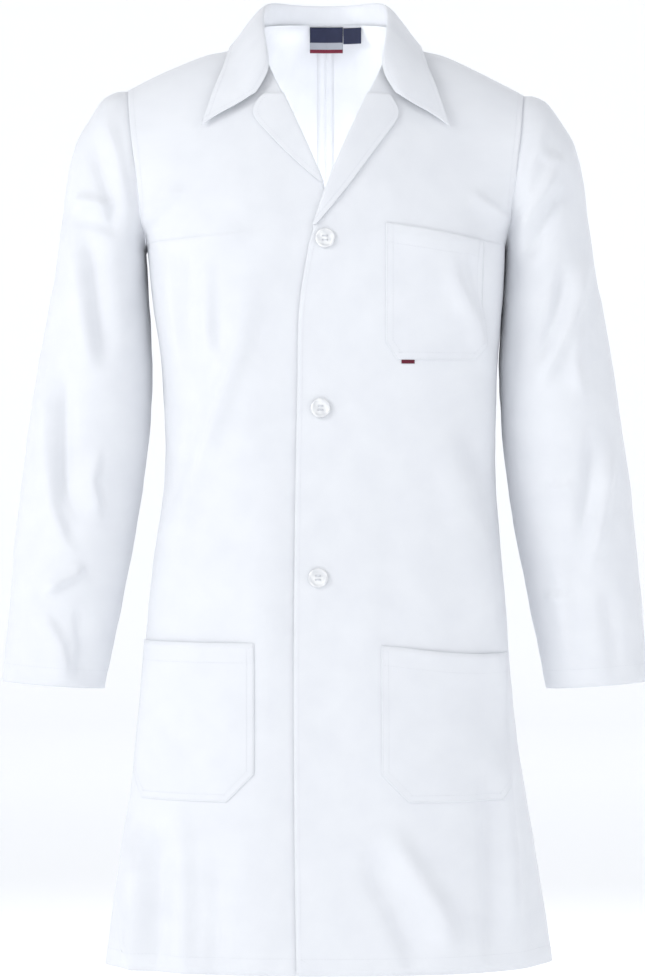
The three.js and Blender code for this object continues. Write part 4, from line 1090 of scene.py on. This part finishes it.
def button_mesh(centre, back):
    """A button turned from its profile and drilled with four holes, its back at the given depth."""
    bm = bmesh.new()
    points = [bm.verts.new((r / 1000, -t / 1000, 0)) for r, t in BUTTON_PROFILE]
    edges = [bm.edges.new(pair) for pair in zip(points, points[1:])]
    bmesh.ops.spin(
        bm, geom=points + edges, cent=(0, 0, 0), axis=(0, 1, 0), angle=2 * math.pi, steps=72, use_merge=True
    )
    bmesh.ops.remove_doubles(bm, verts=bm.verts, dist=1e-6)
    bmesh.ops.recalc_face_normals(bm, faces=bm.faces)
    drill_bm = bmesh.new()
    for x, z in HOLES:
        solid_rod(drill_bm, HOLE_RADIUS, (x, 0.002, z), (x, -0.005, z))
    drill = bpy.data.objects.new("drill", bpy.data.meshes.new("drill"))
    drill_bm.to_mesh(drill.data)
    drill_bm.free()
    scene.collection.objects.link(drill)
    mesh = modified(bm, "BOOLEAN", object=drill, solver="EXACT")
    bm.free()
    bpy.data.objects.remove(drill)
    mesh.transform(Matrix.Translation((centre.x, back, centre.z)))
    return mesh


pearl = plain_material("pearl_resin", (0.82, 0.83, 0.83), 0.22)
pearl_swirls = {"Scale": 42.0, "Distortion": 7.0, "Detail": 2.0, "Detail Scale": 1.6}
streak(pearl, (0.74, 0.75, 0.765), (0.90, 0.905, 0.90), pearl_swirls)
pearl_gloss = pearl.node_tree.nodes["Principled BSDF"]
pearl_gloss.inputs["Coat Weight"].default_value = 0.6
pearl_gloss.inputs["Coat Roughness"].default_value = 0.08

for name in BUTTONS:
    low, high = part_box("button_" + name)
    centre = (low + high) / 2
    mesh = button_mesh(centre, high.y)
    piece = placed("pearl_button_" + name, mesh, pearl, "button_" + name)
    mesh.set_sharp_from_angle(angle=math.radians(50))
    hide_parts("button_" + name)

    strands = bmesh.new()
    face = high.y - DISH_HEIGHT
    cloth_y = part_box("button_thread_" + name)[1].y
    for x, z in HOLES:
        ends = [(centre.x + x, y, centre.z + z) for y in (high.y + 0.0006, face)]
        solid_rod(strands, STRAND_RADIUS, *ends, 12)
    ends = [(centre.x, y, centre.z) for y in (cloth_y, high.y + 0.00002)]
    solid_rod(strands, SHANK_RADIUS, *ends, 16)
    for level in (-1, 1):
        for strand in (-1.5, -0.5, 0.5, 1.5):
            z = centre.z + level * HOLE_PITCH + strand * 0.00034
            bmesh.ops.create_icosphere(
                strands,
                subdivisions=3,
                radius=1.0,
                matrix=Matrix.Translation((centre.x, face + 0.0001, z))
                @ Matrix.Diagonal((HOLE_PITCH + 0.0005, 0.00055, 0.00024, 1)),
            )
    mesh = bpy.data.meshes.new("thread_of_" + name)
    strands.to_mesh(mesh)
    strands.free()
    piece = placed("thread_of_" + name, mesh, thread, "button_" + name, smooth=False)
    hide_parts("button_thread_" + name)

# ---- Labels -------------------------------------------------------------------------------------------
# Blank woven labels caught in the back neck seam, a wide one and a small one beside it, both navy, and a
# small dark red folded tab caught under the chest pocket. None of them carries any lettering.

NAVY = ((0.012, 0.016, 0.045), (0.030, 0.036, 0.085))
navy = woven("navy_label", *NAVY, 0.5, 14000.0, 0.2)
BAND_STARTS = (0.14, 0.40)  # shares of the height where the pale band and the navy start
BAND_COLOURS = {
    "A": ((0.13, 0.010, 0.025), (0.36, 0.38, 0.42), NAVY[0]),
    "B": ((0.22, 0.020, 0.045), (0.50, 0.52, 0.57), NAVY[1]),
}


def banded_label(low, high):
    """The navy weave with a pale band and a dark red band across the foot of the label."""
    material = navy.copy()
    material.name = "banded_label"
    nodes, links = material.node_tree.nodes, material.node_tree.links
    colour = next(n for n in nodes if n.bl_idname == "ShaderNodeMix")
    place = nodes.new("ShaderNodeTexCoord")
    split = nodes.new("ShaderNodeSeparateXYZ")
    links.new(place.outputs["Object"], split.inputs[0])
    level = nodes.new("ShaderNodeMapRange")
    level.inputs["From Min"].default_value = low
    level.inputs["From Max"].default_value = high
    links.new(split.outputs["Z"], level.inputs["Value"])
    for end, shades in BAND_COLOURS.items():
        bands = nodes.new("ShaderNodeValToRGB")
        bands.color_ramp.interpolation = "CONSTANT"
        bands.color_ramp.elements[0].color = (*shades[0], 1)
        bands.color_ramp.elements[1].position = BAND_STARTS[0]
        bands.color_ramp.elements[1].color = (*shades[1], 1)
        last = bands.color_ramp.elements.new(BAND_STARTS[1])
        last.color = (*shades[2], 1)
        links.new(level.outputs["Result"], bands.inputs["Fac"])
        links.new(bands.outputs["Color"], colour.inputs[end])
    return material


label_finish = {
    "neck_label": banded_label(*[corner.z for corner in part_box("neck_label")]),
    "size_label": navy,
}
wine = woven("wine_tab", (0.10, 0.010, 0.022), (0.17, 0.018, 0.04), 0.6, 14000.0, 0.2)
LABEL_WALL = 0.00045
TAB_LIFT = 0.0009

for node, flat in (("neck_label", (0.037, 0.029)), ("size_label", (0.021, 0.018))):
    label = smoothed(sheet_of(node, outward=False), 2)
    finish = label_finish[node]
    piece = cloth_piece("woven_" + node, label, LABEL_WALL, finish, "label", body=node, field=None)
    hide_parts(node)

tab = smoothed(sheet_of("pocket_tab"), 2)
lay_on(tab, "front_left", lambda place: TAB_LIFT)
piece = cloth_piece("woven_pocket_tab", tab, LABEL_WALL, wine, "tab")
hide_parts("pocket_tab")
